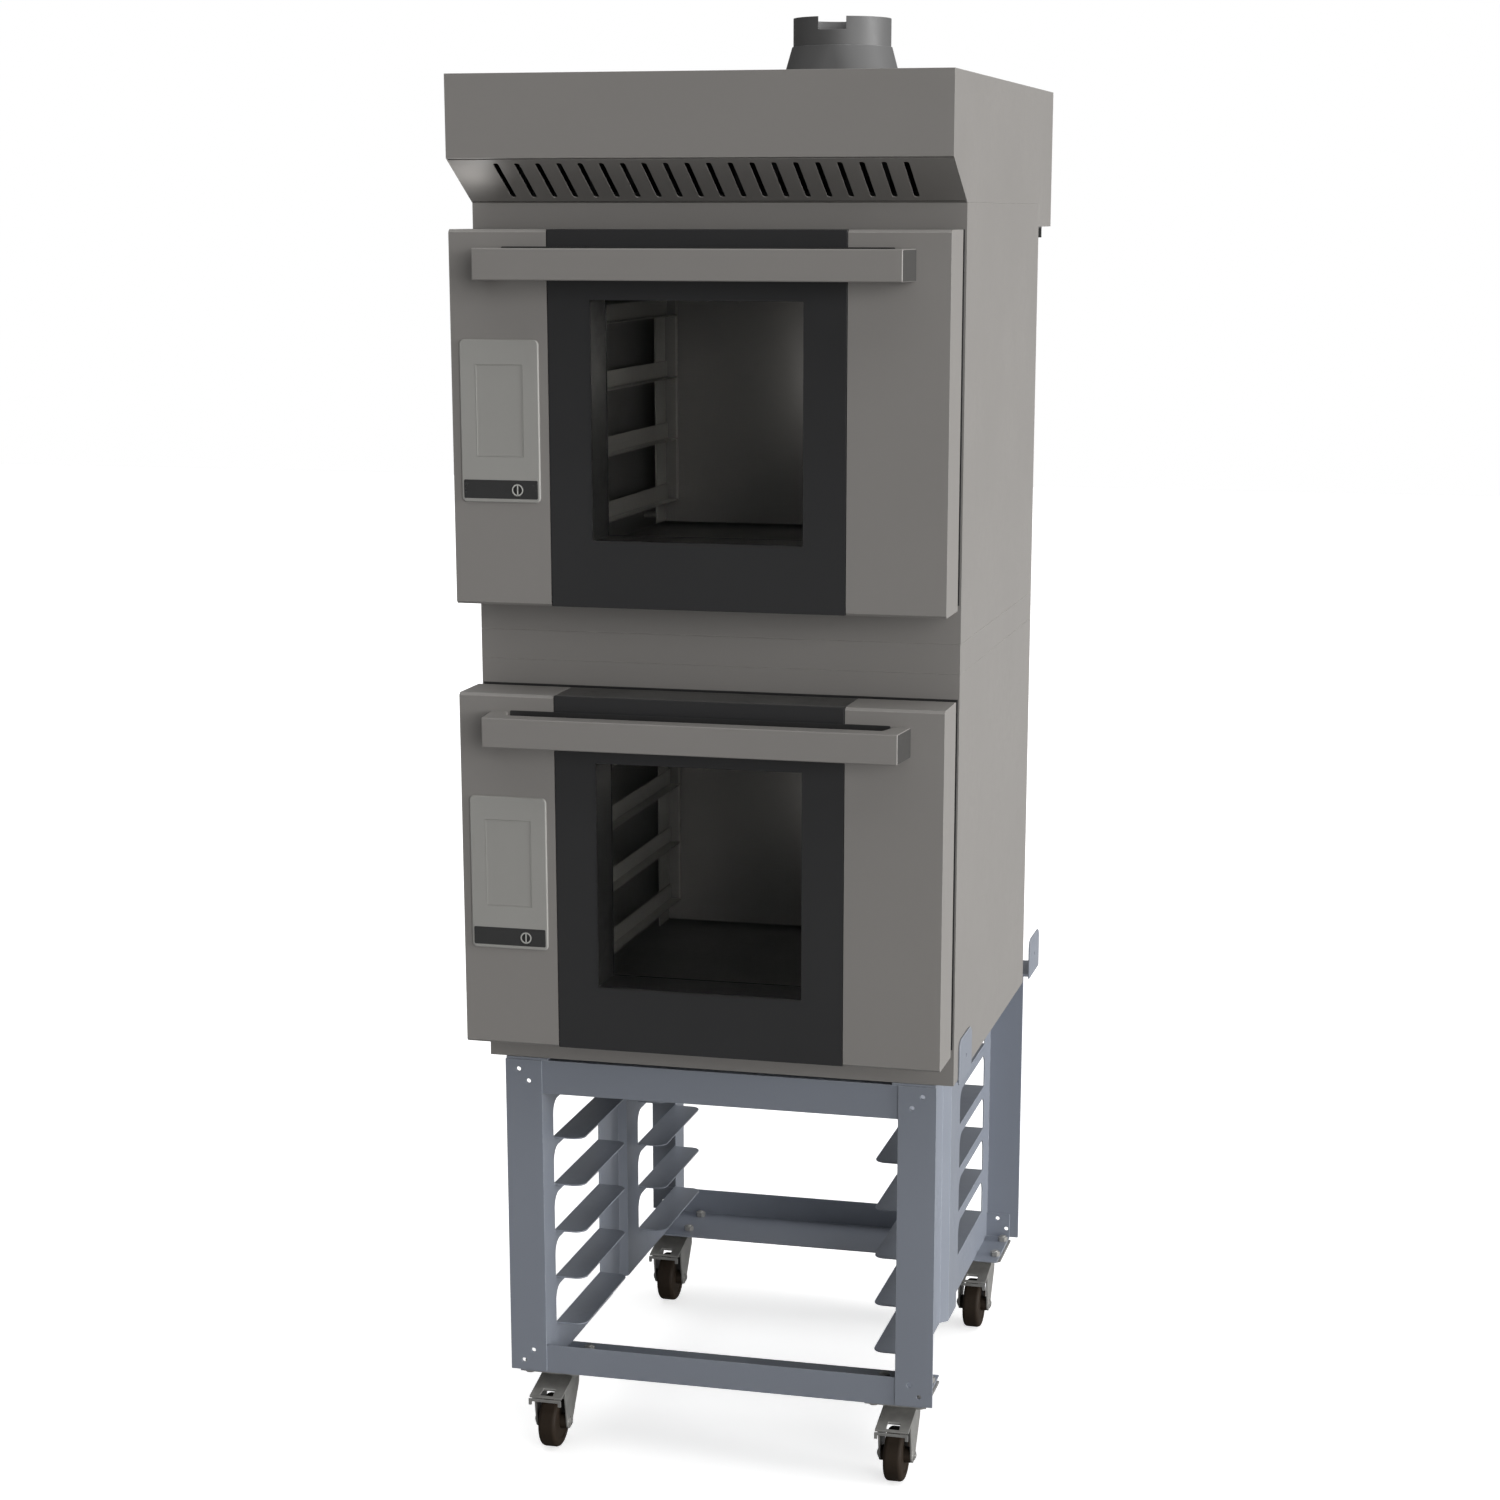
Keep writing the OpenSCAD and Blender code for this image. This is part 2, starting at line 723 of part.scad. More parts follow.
module door_glass() color(glass_dark)
    slab(glass_w / 2, door_front, door_front + glass_t, door_sill, door_top);

module inner_glass_block()
    slab(window_w / 2 + inner_glass_lap, door_back - skin_t - inner_glass_t, door_back - skin_t,
         window_z0 - inner_glass_lap, window_z1 + inner_glass_lap);

module door_inner_glass() color(glass_clear) inner_glass_block();

// Pan behind the panels, box behind the glass, lined window and hinge bosses
module door_frame() color(dark_steel) difference() {
    union() {
        difference() {
            union() {
                slab(door_w / 2 - skin_t, door_back - pan_d, door_back,
                     door_sill + skin_t, door_top - skin_t);
                slab(glass_w / 2, door_front + glass_t, door_back, door_sill, door_top);
            }
            slab(door_w / 2 - 2 * skin_t, door_front, door_back - skin_t,
                 door_sill + 2 * skin_t, door_top - 2 * skin_t);
            slab(glass_w / 2 - skin_t, door_front, door_back - skin_t, door_sill + skin_t, door_top - skin_t);
        }
        slab(window_w / 2 + skin_t, door_front + glass_t, door_back, window_z0 - skin_t, window_z1 + skin_t);
        both_sides() box(hinge_x - pocket_half - boss_t, hinge_x + pocket_half + boss_t,
                         hinge_y - pocket_r, door_back, door_sill + skin_t, hinge_z + pocket_r + skin_t);
    }
    slab(window_w / 2, door_front, door_back + cut, window_z0, window_z1);
    inner_glass_block();
    hinge_pockets();
    both_sides() rod_x(hinge_x - pocket_half - boss_t - cut, hinge_x + pocket_half + boss_t + cut,
                       hinge_y, hinge_z, hinge_pin_d / 2 + run_fit);
}

module door_handle() color(casing_grey) along_z(handle_top - handle_h, handle_top) {
    half = handle_w / 2;
    root = half + handle_splay;
    bar_back = handle_front + bar_t;
    gap_half = half - handle_end - handle_splay / 2;
    polygon([[-root, door_front], [-half, handle_front], [half, handle_front], [root, door_front],
             [root - handle_end, door_front], [gap_half, bar_back], [-gap_half, bar_back],
             [-root + handle_end, door_front]]);
}

module display_block(gap) {
    x = panel_x0 + panel_w / 2;
    z = panel_z0 + display_sill;
    box(x - display_w / 2 - gap, x + display_w / 2 + gap, control_face, control_face + display_t,
        z - gap, z + display_h + gap);
}

module control_panel() color(panel_grey) difference() {
    union() {
        along_y(control_face, door_front) control_outline(0);
        along_y(door_front, door_front + plug_d) control_outline(plug_lip);
    }
    translate([0, -cut, 0]) display_block(sheet_gap);
    display_block(sheet_gap);
    rod_y(control_face - cut, button_face + button_l + button_travel + free_gap,
          button_x, button_z, button_d / 2 + free_gap);
}

module control_display() color(panel_grey) display_block(0);

module power_button() color(black_rubber)
    rod_y(button_face, button_face + button_l, button_x, button_z, button_d / 2);

// Hood

module hood_outline(wall) {
    y0 = door_front + wall;
    y1 = hood_back - wall;
    z1 = hood_h - wall;
    drop_y = oven_d + sheet_gap + wall;
    slope_z = wall > 0 ? slope_rise - slope_open : slope_rise;
    floor_y = wall > 0 ? -floor_open : 0;
    polygon([[floor_y, wall], [y0, slope_z], [y0, z1], [y1, z1], [y1, wall - hood_drop],
             [drop_y, wall - hood_drop], [drop_y, wall]]);
}

module hood_casing() color(casing_grey) translate([0, 0, hood_z0]) difference() {
    along_x(-oven_w / 2, oven_w / 2) hood_outline(0);
    along_x(-oven_w / 2 + sheet_t, oven_w / 2 - sheet_t) hood_outline(sheet_t);
    rod_z(hood_h - sheet_t - cut, hood_h + cut, flue_x, flue_y, flue_d / 2 - sheet_t);
}

// Sloping plate with slots that run up the slope
module hood_intake_panel() color(casing_grey)
    translate([0, 0, hood_z0]) rotate([-slope_angle, 0, 0]) difference() {
        slab(oven_w / 2 - sheet_t, -slope_l + slope_edge, -slope_edge, 0, sheet_t);
        for (k = [0 : slot_count - 1]) {
            x = (k - (slot_count - 1) / 2) * slot_pitch;
            reach = (slot_l - slot_w) / 2;
            mid = -slope_l / 2;
            box(x - slot_w / 2, x + slot_w / 2, mid - reach, mid + reach, -cut, sheet_t + cut);
            for (end = [-1, 1]) rod_z(-cut, sheet_t + cut, x, mid + end * reach, slot_w / 2);
        }
    }

// Filter cassette with upright channels
filter_y0 = 24;
filter_d = 40;
filter_cells = 13;
filter_edge = 10;
filter_end = 12;
filter_wall = 8;
module hood_filter() color(steel) translate([0, 0, hood_z0]) difference() {
    half = oven_w / 2 - sheet_t;
    cell = (2 * half - 2 * filter_edge) / filter_cells;
    slab(half, filter_y0, filter_y0 + filter_d, sheet_t, hood_h - sheet_t);
    for (k = [0 : filter_cells - 1]) translate([-half + filter_edge + (k + 0.5) * cell, 0, 0])
        slab((cell - filter_wall) / 2, filter_y0 - cut, filter_y0 + filter_d + cut,
             filter_end, hood_h - filter_end);
}

// Blower wheel with its hub and shaft, turning below the flue
blower_blades = 16;
blower_blade_l = 22;
blower_blade_t = 2;
blower_plate_t = 2;
blower_hub_wall = 8;
blower_hub_h = 18;
blower_gap = 4;
blower_shaft_in = 20;
blower_shaft_up = 15.6;
module hood_blower_wheel() color(dark_steel) translate([flue_x, flue_y, blower_z0]) {
    cylinder(d = blower_d, h = blower_plate_t);
    translate([0, 0, blower_h - blower_plate_t]) difference() {
        cylinder(d = blower_d, h = blower_plate_t);
        translate([0, 0, -cut]) cylinder(r = blower_d / 2 - blower_blade_l, h = blower_plate_t + 2 * cut);
    }
    for (k = [0 : blower_blades - 1]) rotate([0, 0, k * 360 / blower_blades])
        box(blower_d / 2 - blower_blade_l, blower_d / 2 - blade_sink, -blower_blade_t / 2, blower_blade_t / 2,
            blade_sink, blower_h - blade_sink);
    cylinder(r = blower_shaft_d / 2 + blower_hub_wall, h = blower_hub_h);
    rod_z(-blower_gap - blower_shaft_in - free_gap, blower_shaft_up, 0, 0, blower_shaft_d / 2);
}

blower_motor_r = 45;
module hood_blower_motor() color(dark_steel) difference() {
    rod_z(hood_z0 + sheet_t, blower_z0 - blower_gap, flue_x, flue_y, blower_motor_r);
    rod_z(blower_z0 - blower_gap - blower_shaft_in - shaft_end_gap, blower_z0, flue_x, flue_y,
          blower_shaft_d / 2 + run_fit);
}

// Foot with round corners that blends into a round collar with a notched rim
flue_edge = 0.1;
flue_round = 0.4;
module flue_blend(foot, top) hull() {
    corner = flue_round * foot;
    reach = foot / 2 - corner;
    for (x = [-1, 1], y = [-1, 1]) rod_z(0, flue_edge, x * reach, y * reach, corner);
    rod_z(flue_rise - flue_edge, flue_rise, 0, 0, top / 2);
}

flue_flange = 10;
flue_flange_t = 1;
flue_step = 3;
flue_sink = 0.5;
flue_skim = 0.01;
module flue_collar() color(dark_steel) translate([flue_x, flue_y, hood_top]) difference() {
    flange_half = flue_foot / 2 + flue_flange;
    rim = flue_rise + flue_h;
    union() {
        slab(flange_half, -flange_half, flange_half, 0, flue_flange_t);
        difference() {
            flue_blend(flue_foot, flue_d + flue_step);
            translate([0, 0, -flue_skim]) flue_blend(flue_foot - 2 * sheet_t, flue_d - 2 * sheet_t);
        }
        rod_z(flue_rise - flue_sink, rim, 0, 0, flue_d / 2);
    }
    rod_z(-cut, rim + cut, 0, 0, flue_d / 2 - sheet_t);
    slab(notch_w / 2, -flue_d, 0, rim - notch_h, rim + cut);
}

// Channel under the hood's back drop, against the upper oven's back
bracket_d = 33;
bracket_h = 14;
bracket_t = 2;
bracket_side = 1;
module hood_rear_bracket() color(dark_steel) translate([0, oven_d, hood_z0 - hood_drop]) difference() {
    half = oven_w / 2 - bracket_side;
    slab(half, 0, bracket_d, -bracket_h, 0);
    slab(half + cut, bracket_t, bracket_d - bracket_t, -bracket_h - cut, -bracket_t);
}

// Stand

tiers = [for (k = [0 : tier_count - 1]) stand_z0 + tier_first + k * tier_pitch];
window_y0 = stand_y0 + tray_window_inset;
window_r = 18;
tongue_r = 14;
tongue_side = 1;
rib_lap = 1;

// Plan view of the right-hand side panel: flanges, web and pressed rib
module side_plan() {
    inner = web_x - stand_t;
    mid = (stand_y0 + stand_y1) / 2;
    near = mid - rib_w / 2 - rib_out;
    far = mid + rib_w / 2 + rib_out;
    translate([inner, stand_y0]) square([flange_w + stand_t, stand_t]);
    translate([inner, stand_y1 - stand_t]) square([flange_w + stand_t, stand_t]);
    translate([inner, stand_y0]) square([stand_t, near - stand_y0]);
    translate([inner, far]) square([stand_t, stand_y1 - far]);
    polygon([[inner, near - rib_lap], [web_x, near - rib_lap], [web_x + rib_out, near + rib_out - rib_lap],
             [web_x + rib_out, far - rib_out + rib_lap], [web_x, far + rib_lap], [inner, far + rib_lap],
             [inner, far], [inner + rib_out, far - rib_out], [inner + rib_out, near + rib_out],
             [inner, near]]);
}

// Tongue that is folded inwards below a pressed window
module tray_tongue(z) {
    reach = tongue_l + stand_t;
    along_z(z - stand_t, z) translate([web_x, window_y0 + tongue_side]) rotate(90)
        arch(tray_window_l - 2 * tongue_side, reach, tongue_r);
}

module tray_window(z) along_x(web_x - stand_t - cut, web_x + cut)
    translate([window_y0, z]) arch(tray_window_l, tray_window_h, window_r);

// Two open holes near each end of a front flange, through the flange and the rail
module corner_holes() {
    x = web_x + flange_w - hole_edge;
    for (p = [[x, stand_top - hole_end_near], [x - hole_step, stand_top - hole_end_far],
              [x, stand_z0 + hole_end_near], [x - hole_step, stand_z0 + hole_end_far]])
        rod_y(stand_y0 - cut, rail_y0 + stand_t + cut, p[0], p[1], corner_hole_d / 2);
}

// Slots where the rails' walls pass the web
module rail_notches() {
    y1 = rail_y0 + stand_t + sheet_gap;
    x0 = web_x - stand_t - cut;
    box(x0, web_x + cut, rail_y0, y1, stand_top - top_rail_h - sheet_gap, stand_top + cut);
    box(x0, web_x + cut, rail_y0, y1, stand_z0 - cut, stand_z0 + bottom_rail_h + sheet_gap);
}

module stand_side() color(stand_blue) difference() {
    union() {
        along_z(stand_z0, stand_top) side_plan();
        front_and_rear() for (z = tiers) tray_tongue(z);
    }
    front_and_rear() {
        for (z = tiers) tray_window(z);
        rail_notches();
        corner_holes();
    }
}

module stand_right_side() stand_side();

module stand_left_side() mirror([1, 0, 0]) stand_side();

top_rail_d = 40;
module stand_top_rails() color(stand_blue) front_and_rear() difference() {
    union() {
        slab(rail_half, rail_y0, rail_y0 + stand_t, stand_top - top_rail_h, stand_top);
        slab(web_x - stand_t - sheet_gap, rail_y0, rail_y0 + top_rail_d, stand_top - stand_t, stand_top);
    }
    both_sides() corner_holes();
}

// Places of the four bolts of each caster plate
module plate_bolts() for (side = [-1, 1], end = [-1, 1], x = [-1, 1], y = [-1, 1])
    at_caster(side, end) translate([x * plate_hole_x / 2, y * plate_hole_y / 2, 0]) children();

module plate_bolt_holes() plate_bolts()
    rod_z(caster_h - plate_t - cut, stand_z0 + cut, 0, 0, plate_bolt_d / 2 + sheet_gap);

module stand_bottom_rails() color(stand_blue) difference() {
    front_and_rear() difference() {
        union() {
            slab(rail_half, rail_y0, rail_y0 + stand_t, caster_h, stand_z0 + bottom_rail_h);
            slab(rail_half, rail_y0, rail_y0 + bottom_rail_d, caster_h, stand_z0);
        }
        both_sides() corner_holes();
    }
    plate_bolt_holes();
}

// Long plate under each side of the ovens, with a lip and two upright ears
ear_r = 14;
ear_hole_shift = 4;
ear_hole_up = 20;
module ear(y0) difference() {
    along_x(rest_x1, rest_x1 + stand_t) translate([y0, stand_top]) arch(ear_l, rest_t + ear_h, ear_r);
    rod_x(rest_x1 - cut, rest_x1 + stand_t + cut, y0 + ear_l / 2 + ear_hole_shift, oven_z0 + ear_hole_up,
          ear_hole_d / 2);
}

module stand_rest_rails() color(stand_blue) both_sides() {
    y1 = stand_y1 - ear_rear_inset;
    box(rest_x0, web_x + flange_w - rest_edge, stand_y0 + rest_edge, y1, stand_top, oven_z0);
    for (y = [stand_y0 + ear_front_inset, y1 - ear_l]) {
        box(rest_x0, rest_x1 + stand_t, y, y + ear_l, stand_top, oven_z0);
        box(rest_x1, rest_x1 + stand_t, y, y + ear_l, stand_top - rest_t, oven_z0);
        ear(y);
    }
}

// Caster bolts: round head below the plate, and a nut on the rail
plate_head_t = 4;
plate_head_r = 0.8 * plate_bolt_d;
plate_nut_t = 6.5;
plate_nut_r = 0.9 * plate_bolt_d;
plate_bolt_up = 8;
plate_bolt_sink = 1;
module plate_bolt() {
    head_z = caster_h - plate_t;
    rod_z(head_z - plate_head_t, head_z, 0, 0, plate_head_r);
    rod_z(head_z - plate_bolt_sink, stand_z0 + plate_bolt_up, 0, 0, plate_bolt_d / 2);
    translate([0, 0, stand_z0]) cylinder(r = plate_nut_r, h = plate_nut_t, $fn = 6);
}

module stand_bolts() color(steel) plate_bolts() plate_bolt();

// Casters

kingpin_head_t = 3;
kingpin_head_w = 3;
kingpin_sink = 1;
module caster_plates() color(steel) for (side = [-1, 1], end = [-1, 1]) at_caster(side, end) {
    difference() {
        translate([-plate_w / 2, -plate_l / 2, caster_h - plate_t]) cube([plate_w, plate_l, plate_t]);
        for (x = [-1, 1], y = [-1, 1])
            rod_z(caster_h - plate_t - cut, caster_h + cut, x * plate_hole_x / 2, y * plate_hole_y / 2,
                  plate_bolt_d / 2 + sheet_gap);
    }
    rod_z(head_z0 - free_gap - kingpin_sink, caster_h - kingpin_sink, 0, 0, kingpin_d / 2);
    rod_z(head_z0 - free_gap - kingpin_head_t, head_z0 - free_gap, 0, 0, kingpin_d / 2 + kingpin_head_w);
}

// Side view of a strip along the fork's sloping crown
module slope_line(y0, y1, drop, thick) {
    z0 = crown_top - drop + (y0 - crown_front) * crown_slope;
    z1 = crown_top - drop + (y1 - crown_front) * crown_slope;
    polygon([[y0, z0 - thick], [y1, z1 - thick], [y1, z1], [y0, z0]]);
}

// Side view of a fork's cheek: upright behind the swivel, sloping to a round end at the axle
cheek_wall = 5;
cheek_back = 13;
cheek_bend = 40;
cheek_lead = 18;
cheek_neck = 2;
cheek_sink = 1;
module cheek_outline() {
    tip = axle_d / 2 + cheek_wall;
    top = head_z0 + cheek_sink;
    front = -trail - cheek_lead;
    neck = crown_back - cheek_neck;
    mid = crown_top - crown_t / 2;
    polygon([[cheek_back, top], [cheek_back, axle_z + cheek_bend], [tip - trail, axle_z - tip * 0.6],
             [-trail, axle_z - tip], [-trail - tip, axle_z],
             [front, mid + (front - crown_front) * crown_slope],
             [neck, mid + (neck - crown_front) * crown_slope], [crown_back + cheek_neck, top]]);
    translate([-trail, axle_z]) circle(tip);
}

// Fork: a swivel head, a sloping crown with a cut-out, two cheeks, the axle and the pedal's pivots
crown_hole_in = 3.5;
crown_hole_l = 15;
crown_hole_front = 8.8;
crown_hole_back = 8;
axle_head_t = 2;
axle_head_w = 1.5;
pivot_end = 0.5;
module fork() color(steel) {
    difference() {
        rod_z(head_z0, head_z1, 0, 0, head_r);
        rod_z(head_z0 - cut, head_z1 + cut, 0, 0, kingpin_d / 2 + run_fit);
    }
    difference() {
        hole_y = crown_front + crown_hole_in;
        along_x(-cheek_out, cheek_out) slope_line(crown_front, crown_back, 0, crown_t);
        translate([0, 0, crown_top - crown_t]) linear_extrude(crown_t + crown_reach * crown_slope)
            polygon([[-crown_hole_front, hole_y], [crown_hole_front, hole_y],
                     [crown_hole_back, hole_y + crown_hole_l], [-crown_hole_back, hole_y + crown_hole_l]]);
    }
    both_sides() {
        along_x(cheek_in, cheek_out) cheek_outline();
        rod_x(pedal_half - pedal_t - pivot_end, cheek_in + cheek_t / 2, pivot_y, pivot_z, pivot_d / 2);
        rod_x(cheek_out - cheek_t / 2, cheek_out + axle_head_t, -trail, axle_z, axle_d / 2 + axle_head_w);
    }
    rod_x(-cheek_out, cheek_out, -trail, axle_z, axle_d / 2);
}

// Tyre with round shoulders and a hub that fills the fork
tread_r = 7;
hub_r = 10;
module wheel() color(wheel_brown) translate([0, -trail, axle_z]) rotate([0, 90, 0]) rotate_extrude() {
    bore = axle_d / 2 + run_fit;
    translate([bore, -wheel_w / 2]) square([wheel_d / 2 - tread_r - bore, wheel_w]);
    translate([bore, -wheel_w / 2 + tread_r]) square([wheel_d / 2 - bore, wheel_w - 2 * tread_r]);
    for (end = [-1, 1]) translate([wheel_d / 2 - tread_r, end * (wheel_w / 2 - tread_r)]) circle(tread_r);
    translate([bore, -cheek_in + free_gap]) square([hub_r - bore, 2 * (cheek_in - free_gap)]);
}

// Brake pedal: open plate below the crown, side lugs on the pivots, and a lip with two turned-down corners
pedal_plate_t = 1.8;
pedal_drop = 0.8;
pedal_lip = 4;
pedal_lip_t = 1.8;
pedal_lip_low = 2.2;
pedal_heel = 1;
pedal_lug_front = 14;
pedal_lug_half = 5;
pedal_lug_drop = 4;
pedal_lug_wall = 3;
pedal_sink = 0.5;
pedal_hole_half = 11;
pedal_hole_in = 3.5;
pedal_hole_end = 3;
pedal_tab_h = 5;
pedal_tab_w = 4;
pedal_tab_d = 3;
module pedal() color(dark_steel) difference() {
    front = crown_front - pedal_lip;
    back = pivot_y + pedal_heel;
    lug_y = pivot_y - pedal_lug_front;
    under = crown_top - crown_t - pedal_drop - pedal_plate_t;
    lip_z = under - pedal_lip * crown_slope;
    union() {
        along_x(-pedal_half, pedal_half) slope_line(front, back, crown_t + pedal_drop, pedal_plate_t);
        slab(cheek_out, front, front + pedal_lip_t, lip_z, crown_top - pedal_lip_low);
        both_sides() {
            along_x(pedal_half - pedal_t, pedal_half) {
                polygon([[lug_y, under + pedal_sink + (lug_y - crown_front) * crown_slope],
                         [pivot_y - pedal_lug_half, pivot_z - pedal_lug_drop],
                         [pivot_y + pedal_lug_half, pivot_z - pedal_lug_drop],
                         [back, under + pedal_sink + (back - crown_front) * crown_slope]]);
                translate([pivot_y, pivot_z]) circle(pivot_d / 2 + pedal_lug_wall);
            }
            box(cheek_out - pedal_tab_w, cheek_out, front, front + pedal_tab_d,
                lip_z - pedal_tab_h, lip_z + pedal_lip_t);
        }
    }
    slab(pedal_hole_half, front + pedal_hole_in, pivot_y - pedal_hole_end, lip_z, crown_top + crown_up);
    both_sides() rod_x(pedal_half - pedal_t - cut, pedal_half + cut, pivot_y, pivot_z, pivot_d / 2 + run_fit);
}

in_frame() at_oven(0) casing();  // lower_casing
in_frame() at_oven(1) casing();  // upper_casing
in_frame() at_oven(0) cavity();  // lower_cavity
in_frame() at_oven(1) cavity();  // upper_cavity
in_frame() stacking_spacer();
in_frame() insulation();
in_frame() rear_covers();
in_frame() cable_glands();
in_frame() fan_baffles();
in_frame() at_oven(0) fan();  // lower_fan
in_frame() at_oven(1) fan();  // upper_fan
in_frame() fan_motors();
in_frame() ring_heaters();
in_frame() tray_racks();
in_frame() door_seals();
in_frame() door_hinges();
in_frame() at_oven(0) door_frame();  // lower_door_frame
in_frame() at_oven(0) door_left_panel();  // lower_door_left_panel
in_frame() at_oven(0) door_right_panel();  // lower_door_right_panel
in_frame() at_oven(0) door_glass();  // lower_door_glass
in_frame() at_oven(0) door_inner_glass();  // lower_door_inner_glass
in_frame() at_oven(0) door_handle();  // lower_door_handle
in_frame() at_oven(0) control_panel();  // lower_control_panel
in_frame() at_oven(0) control_display();  // lower_control_display
in_frame() at_oven(0) power_button();  // lower_power_button
in_frame() at_oven(1) door_frame();  // upper_door_frame
in_frame() at_oven(1) door_left_panel();  // upper_door_left_panel
in_frame() at_oven(1) door_right_panel();  // upper_door_right_panel
in_frame() at_oven(1) door_glass();  // upper_door_glass
in_frame() at_oven(1) door_inner_glass();  // upper_door_inner_glass
in_frame() at_oven(1) door_handle();  // upper_door_handle
in_frame() at_oven(1) control_panel();  // upper_control_panel
in_frame() at_oven(1) control_display();  // upper_control_display
in_frame() at_oven(1) power_button();  // upper_power_button
in_frame() hood_casing();
in_frame() hood_intake_panel();
in_frame() hood_filter();
in_frame() hood_blower_wheel();
in_frame() hood_blower_motor();
in_frame() flue_collar();
in_frame() hood_rear_bracket();
in_frame() stand_left_side();
in_frame() stand_right_side();
in_frame() stand_top_rails();
in_frame() stand_bottom_rails();
in_frame() stand_rest_rails();
in_frame() stand_bolts();
in_frame() caster_plates();
in_frame() at_caster(-1, -1) fork();  // front_left_fork
in_frame() at_caster(1, -1) fork();  // front_right_fork
in_frame() at_caster(-1, 1) fork();  // rear_left_fork
in_frame() at_caster(1, 1) fork();  // rear_right_fork
in_frame() at_caster(-1, -1) wheel();  // front_left_wheel
in_frame() at_caster(1, -1) wheel();  // front_right_wheel
in_frame() at_caster(-1, 1) wheel();  // rear_left_wheel
in_frame() at_caster(1, 1) wheel();  // rear_right_wheel
in_frame() at_caster(-1, -1) pedal();  // front_left_pedal
in_frame() at_caster(1, -1) pedal();  // front_right_pedal
in_frame() at_caster(-1, 1) pedal();  // rear_left_pedal
in_frame() at_caster(1, 1) pedal();  // rear_right_pedal
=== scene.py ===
"""Looks of two stacked bakery ovens under an extraction hood, on a wheeled tray stand."""

import json
import logging
import math
from collections.abc import Callable, Sequence
from dataclasses import dataclass, replace
from enum import Enum
from functools import partial

import bmesh
import bpy
from mathutils import Matrix, Vector

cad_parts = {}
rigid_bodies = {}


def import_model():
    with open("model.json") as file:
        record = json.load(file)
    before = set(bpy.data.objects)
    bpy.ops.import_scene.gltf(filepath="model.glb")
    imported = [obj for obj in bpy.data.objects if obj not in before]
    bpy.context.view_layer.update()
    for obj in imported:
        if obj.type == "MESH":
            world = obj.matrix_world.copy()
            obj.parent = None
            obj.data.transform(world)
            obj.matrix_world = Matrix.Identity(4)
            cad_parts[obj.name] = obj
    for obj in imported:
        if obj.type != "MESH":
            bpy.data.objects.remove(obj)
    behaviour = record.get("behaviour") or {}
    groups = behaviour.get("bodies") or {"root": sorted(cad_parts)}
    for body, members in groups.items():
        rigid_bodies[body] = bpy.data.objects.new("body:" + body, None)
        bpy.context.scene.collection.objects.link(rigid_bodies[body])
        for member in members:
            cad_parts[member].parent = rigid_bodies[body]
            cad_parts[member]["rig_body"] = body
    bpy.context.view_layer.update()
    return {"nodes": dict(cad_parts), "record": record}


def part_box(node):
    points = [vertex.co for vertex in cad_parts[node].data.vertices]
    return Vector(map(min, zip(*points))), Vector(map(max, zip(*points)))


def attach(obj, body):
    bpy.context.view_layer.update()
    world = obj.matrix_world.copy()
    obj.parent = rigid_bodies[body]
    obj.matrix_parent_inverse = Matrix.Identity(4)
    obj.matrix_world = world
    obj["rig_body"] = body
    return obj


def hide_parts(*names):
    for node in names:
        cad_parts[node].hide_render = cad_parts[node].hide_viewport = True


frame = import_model()

LOG = logging.getLogger("bakery_ovens")
Colour = tuple[float, float, float]
Place = tuple[float, float, float]
Piece = bpy.types.Object
Material = bpy.types.Material
Tree = bpy.types.NodeTree
Socket = bpy.types.NodeSocket
Sockets = bpy.types.bpy_prop_collection
Test = Callable[[Vector, Vector], bool]

# Lengths in metres: slack of a test, radius round a face's middle, depth that trim sits in its sheet.
MM = 0.001
NEAR = 0.05 * MM
MIDDLE = 1.0 * MM
SINK = 0.2 * MM
# Parts of a unit direction: of a flat face, along an axis, across it, square to it.
FLAT = 0.99
ALONG = 0.9
ACROSS = 0.5
SQUARE = 0.1
# Sides of a six-sided nut, a small head, a round hole and a large round.
HEX_SIDES = 6
SMALL_SIDES = 20
HOLE_SIDES = 48
WHEEL_SIDES = 64
# Metres within which vertices are one, degrees within which faces are one or look smooth.
SAME_POINT = 0.001 * MM
SAME_CAD_POINT = 0.004 * MM
SAME_FACE = 0.5
SMOOTH_ANGLE = 35.0
# Colour sockets of a mix node, and plain white.
MIX_FIRST, MIX_SECOND, MIX_RESULT = 6, 7, 2
WHITE = (1.0, 1.0, 1.0, 1.0)


class Surface(Enum):
    """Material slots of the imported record."""

    CASING = "casing_grey"
    CHAMBER = "chamber_steel"
    WOOL = "insulation_wool"
    PLASTIC = "black_plastic"
    DARK_STEEL = "dark_steel"
    FAN = "fan_steel"
    SEAL = "seal_rubber"
    DOOR_PAN = "door_pan_black"
    DARK_GLASS = "dark_glass"
    CLEAR_GLASS = "clear_glass"
    CONTROL = "control_grey"
    DISPLAY = "display_film"
    BUTTON = "button_black"
    FILTER = "filter_aluminium"
    FLUE = "flue_steel"
    STAND = "stand_paint"
    ZINC = "zinc_steel"
    TYRE = "wheel_rubber"
    PEDAL = "pedal_grey"


class Domain(Enum):
    """Kinds of mesh element that a step can pick."""

    VERT = "VERT"
    EDGE = "EDGE"
    FACE = "FACE"


class Axis(Enum):
    """Directions of the frame, by number."""

    X = 0
    Y = 1
    Z = 2

    @property
    def turn(self) -> Place:
        """Rotation that lays an upright blank along the axis."""
        quarter = math.pi / 2
        return ((0.0, quarter, 0.0), (quarter, 0.0, 0.0), (0.0, 0.0, 0.0))[self.value]

    @property
    def way(self) -> Vector:
        """Direction of the axis, a metre long."""
        return Vector([float(number == self.value) for number in range(3)])


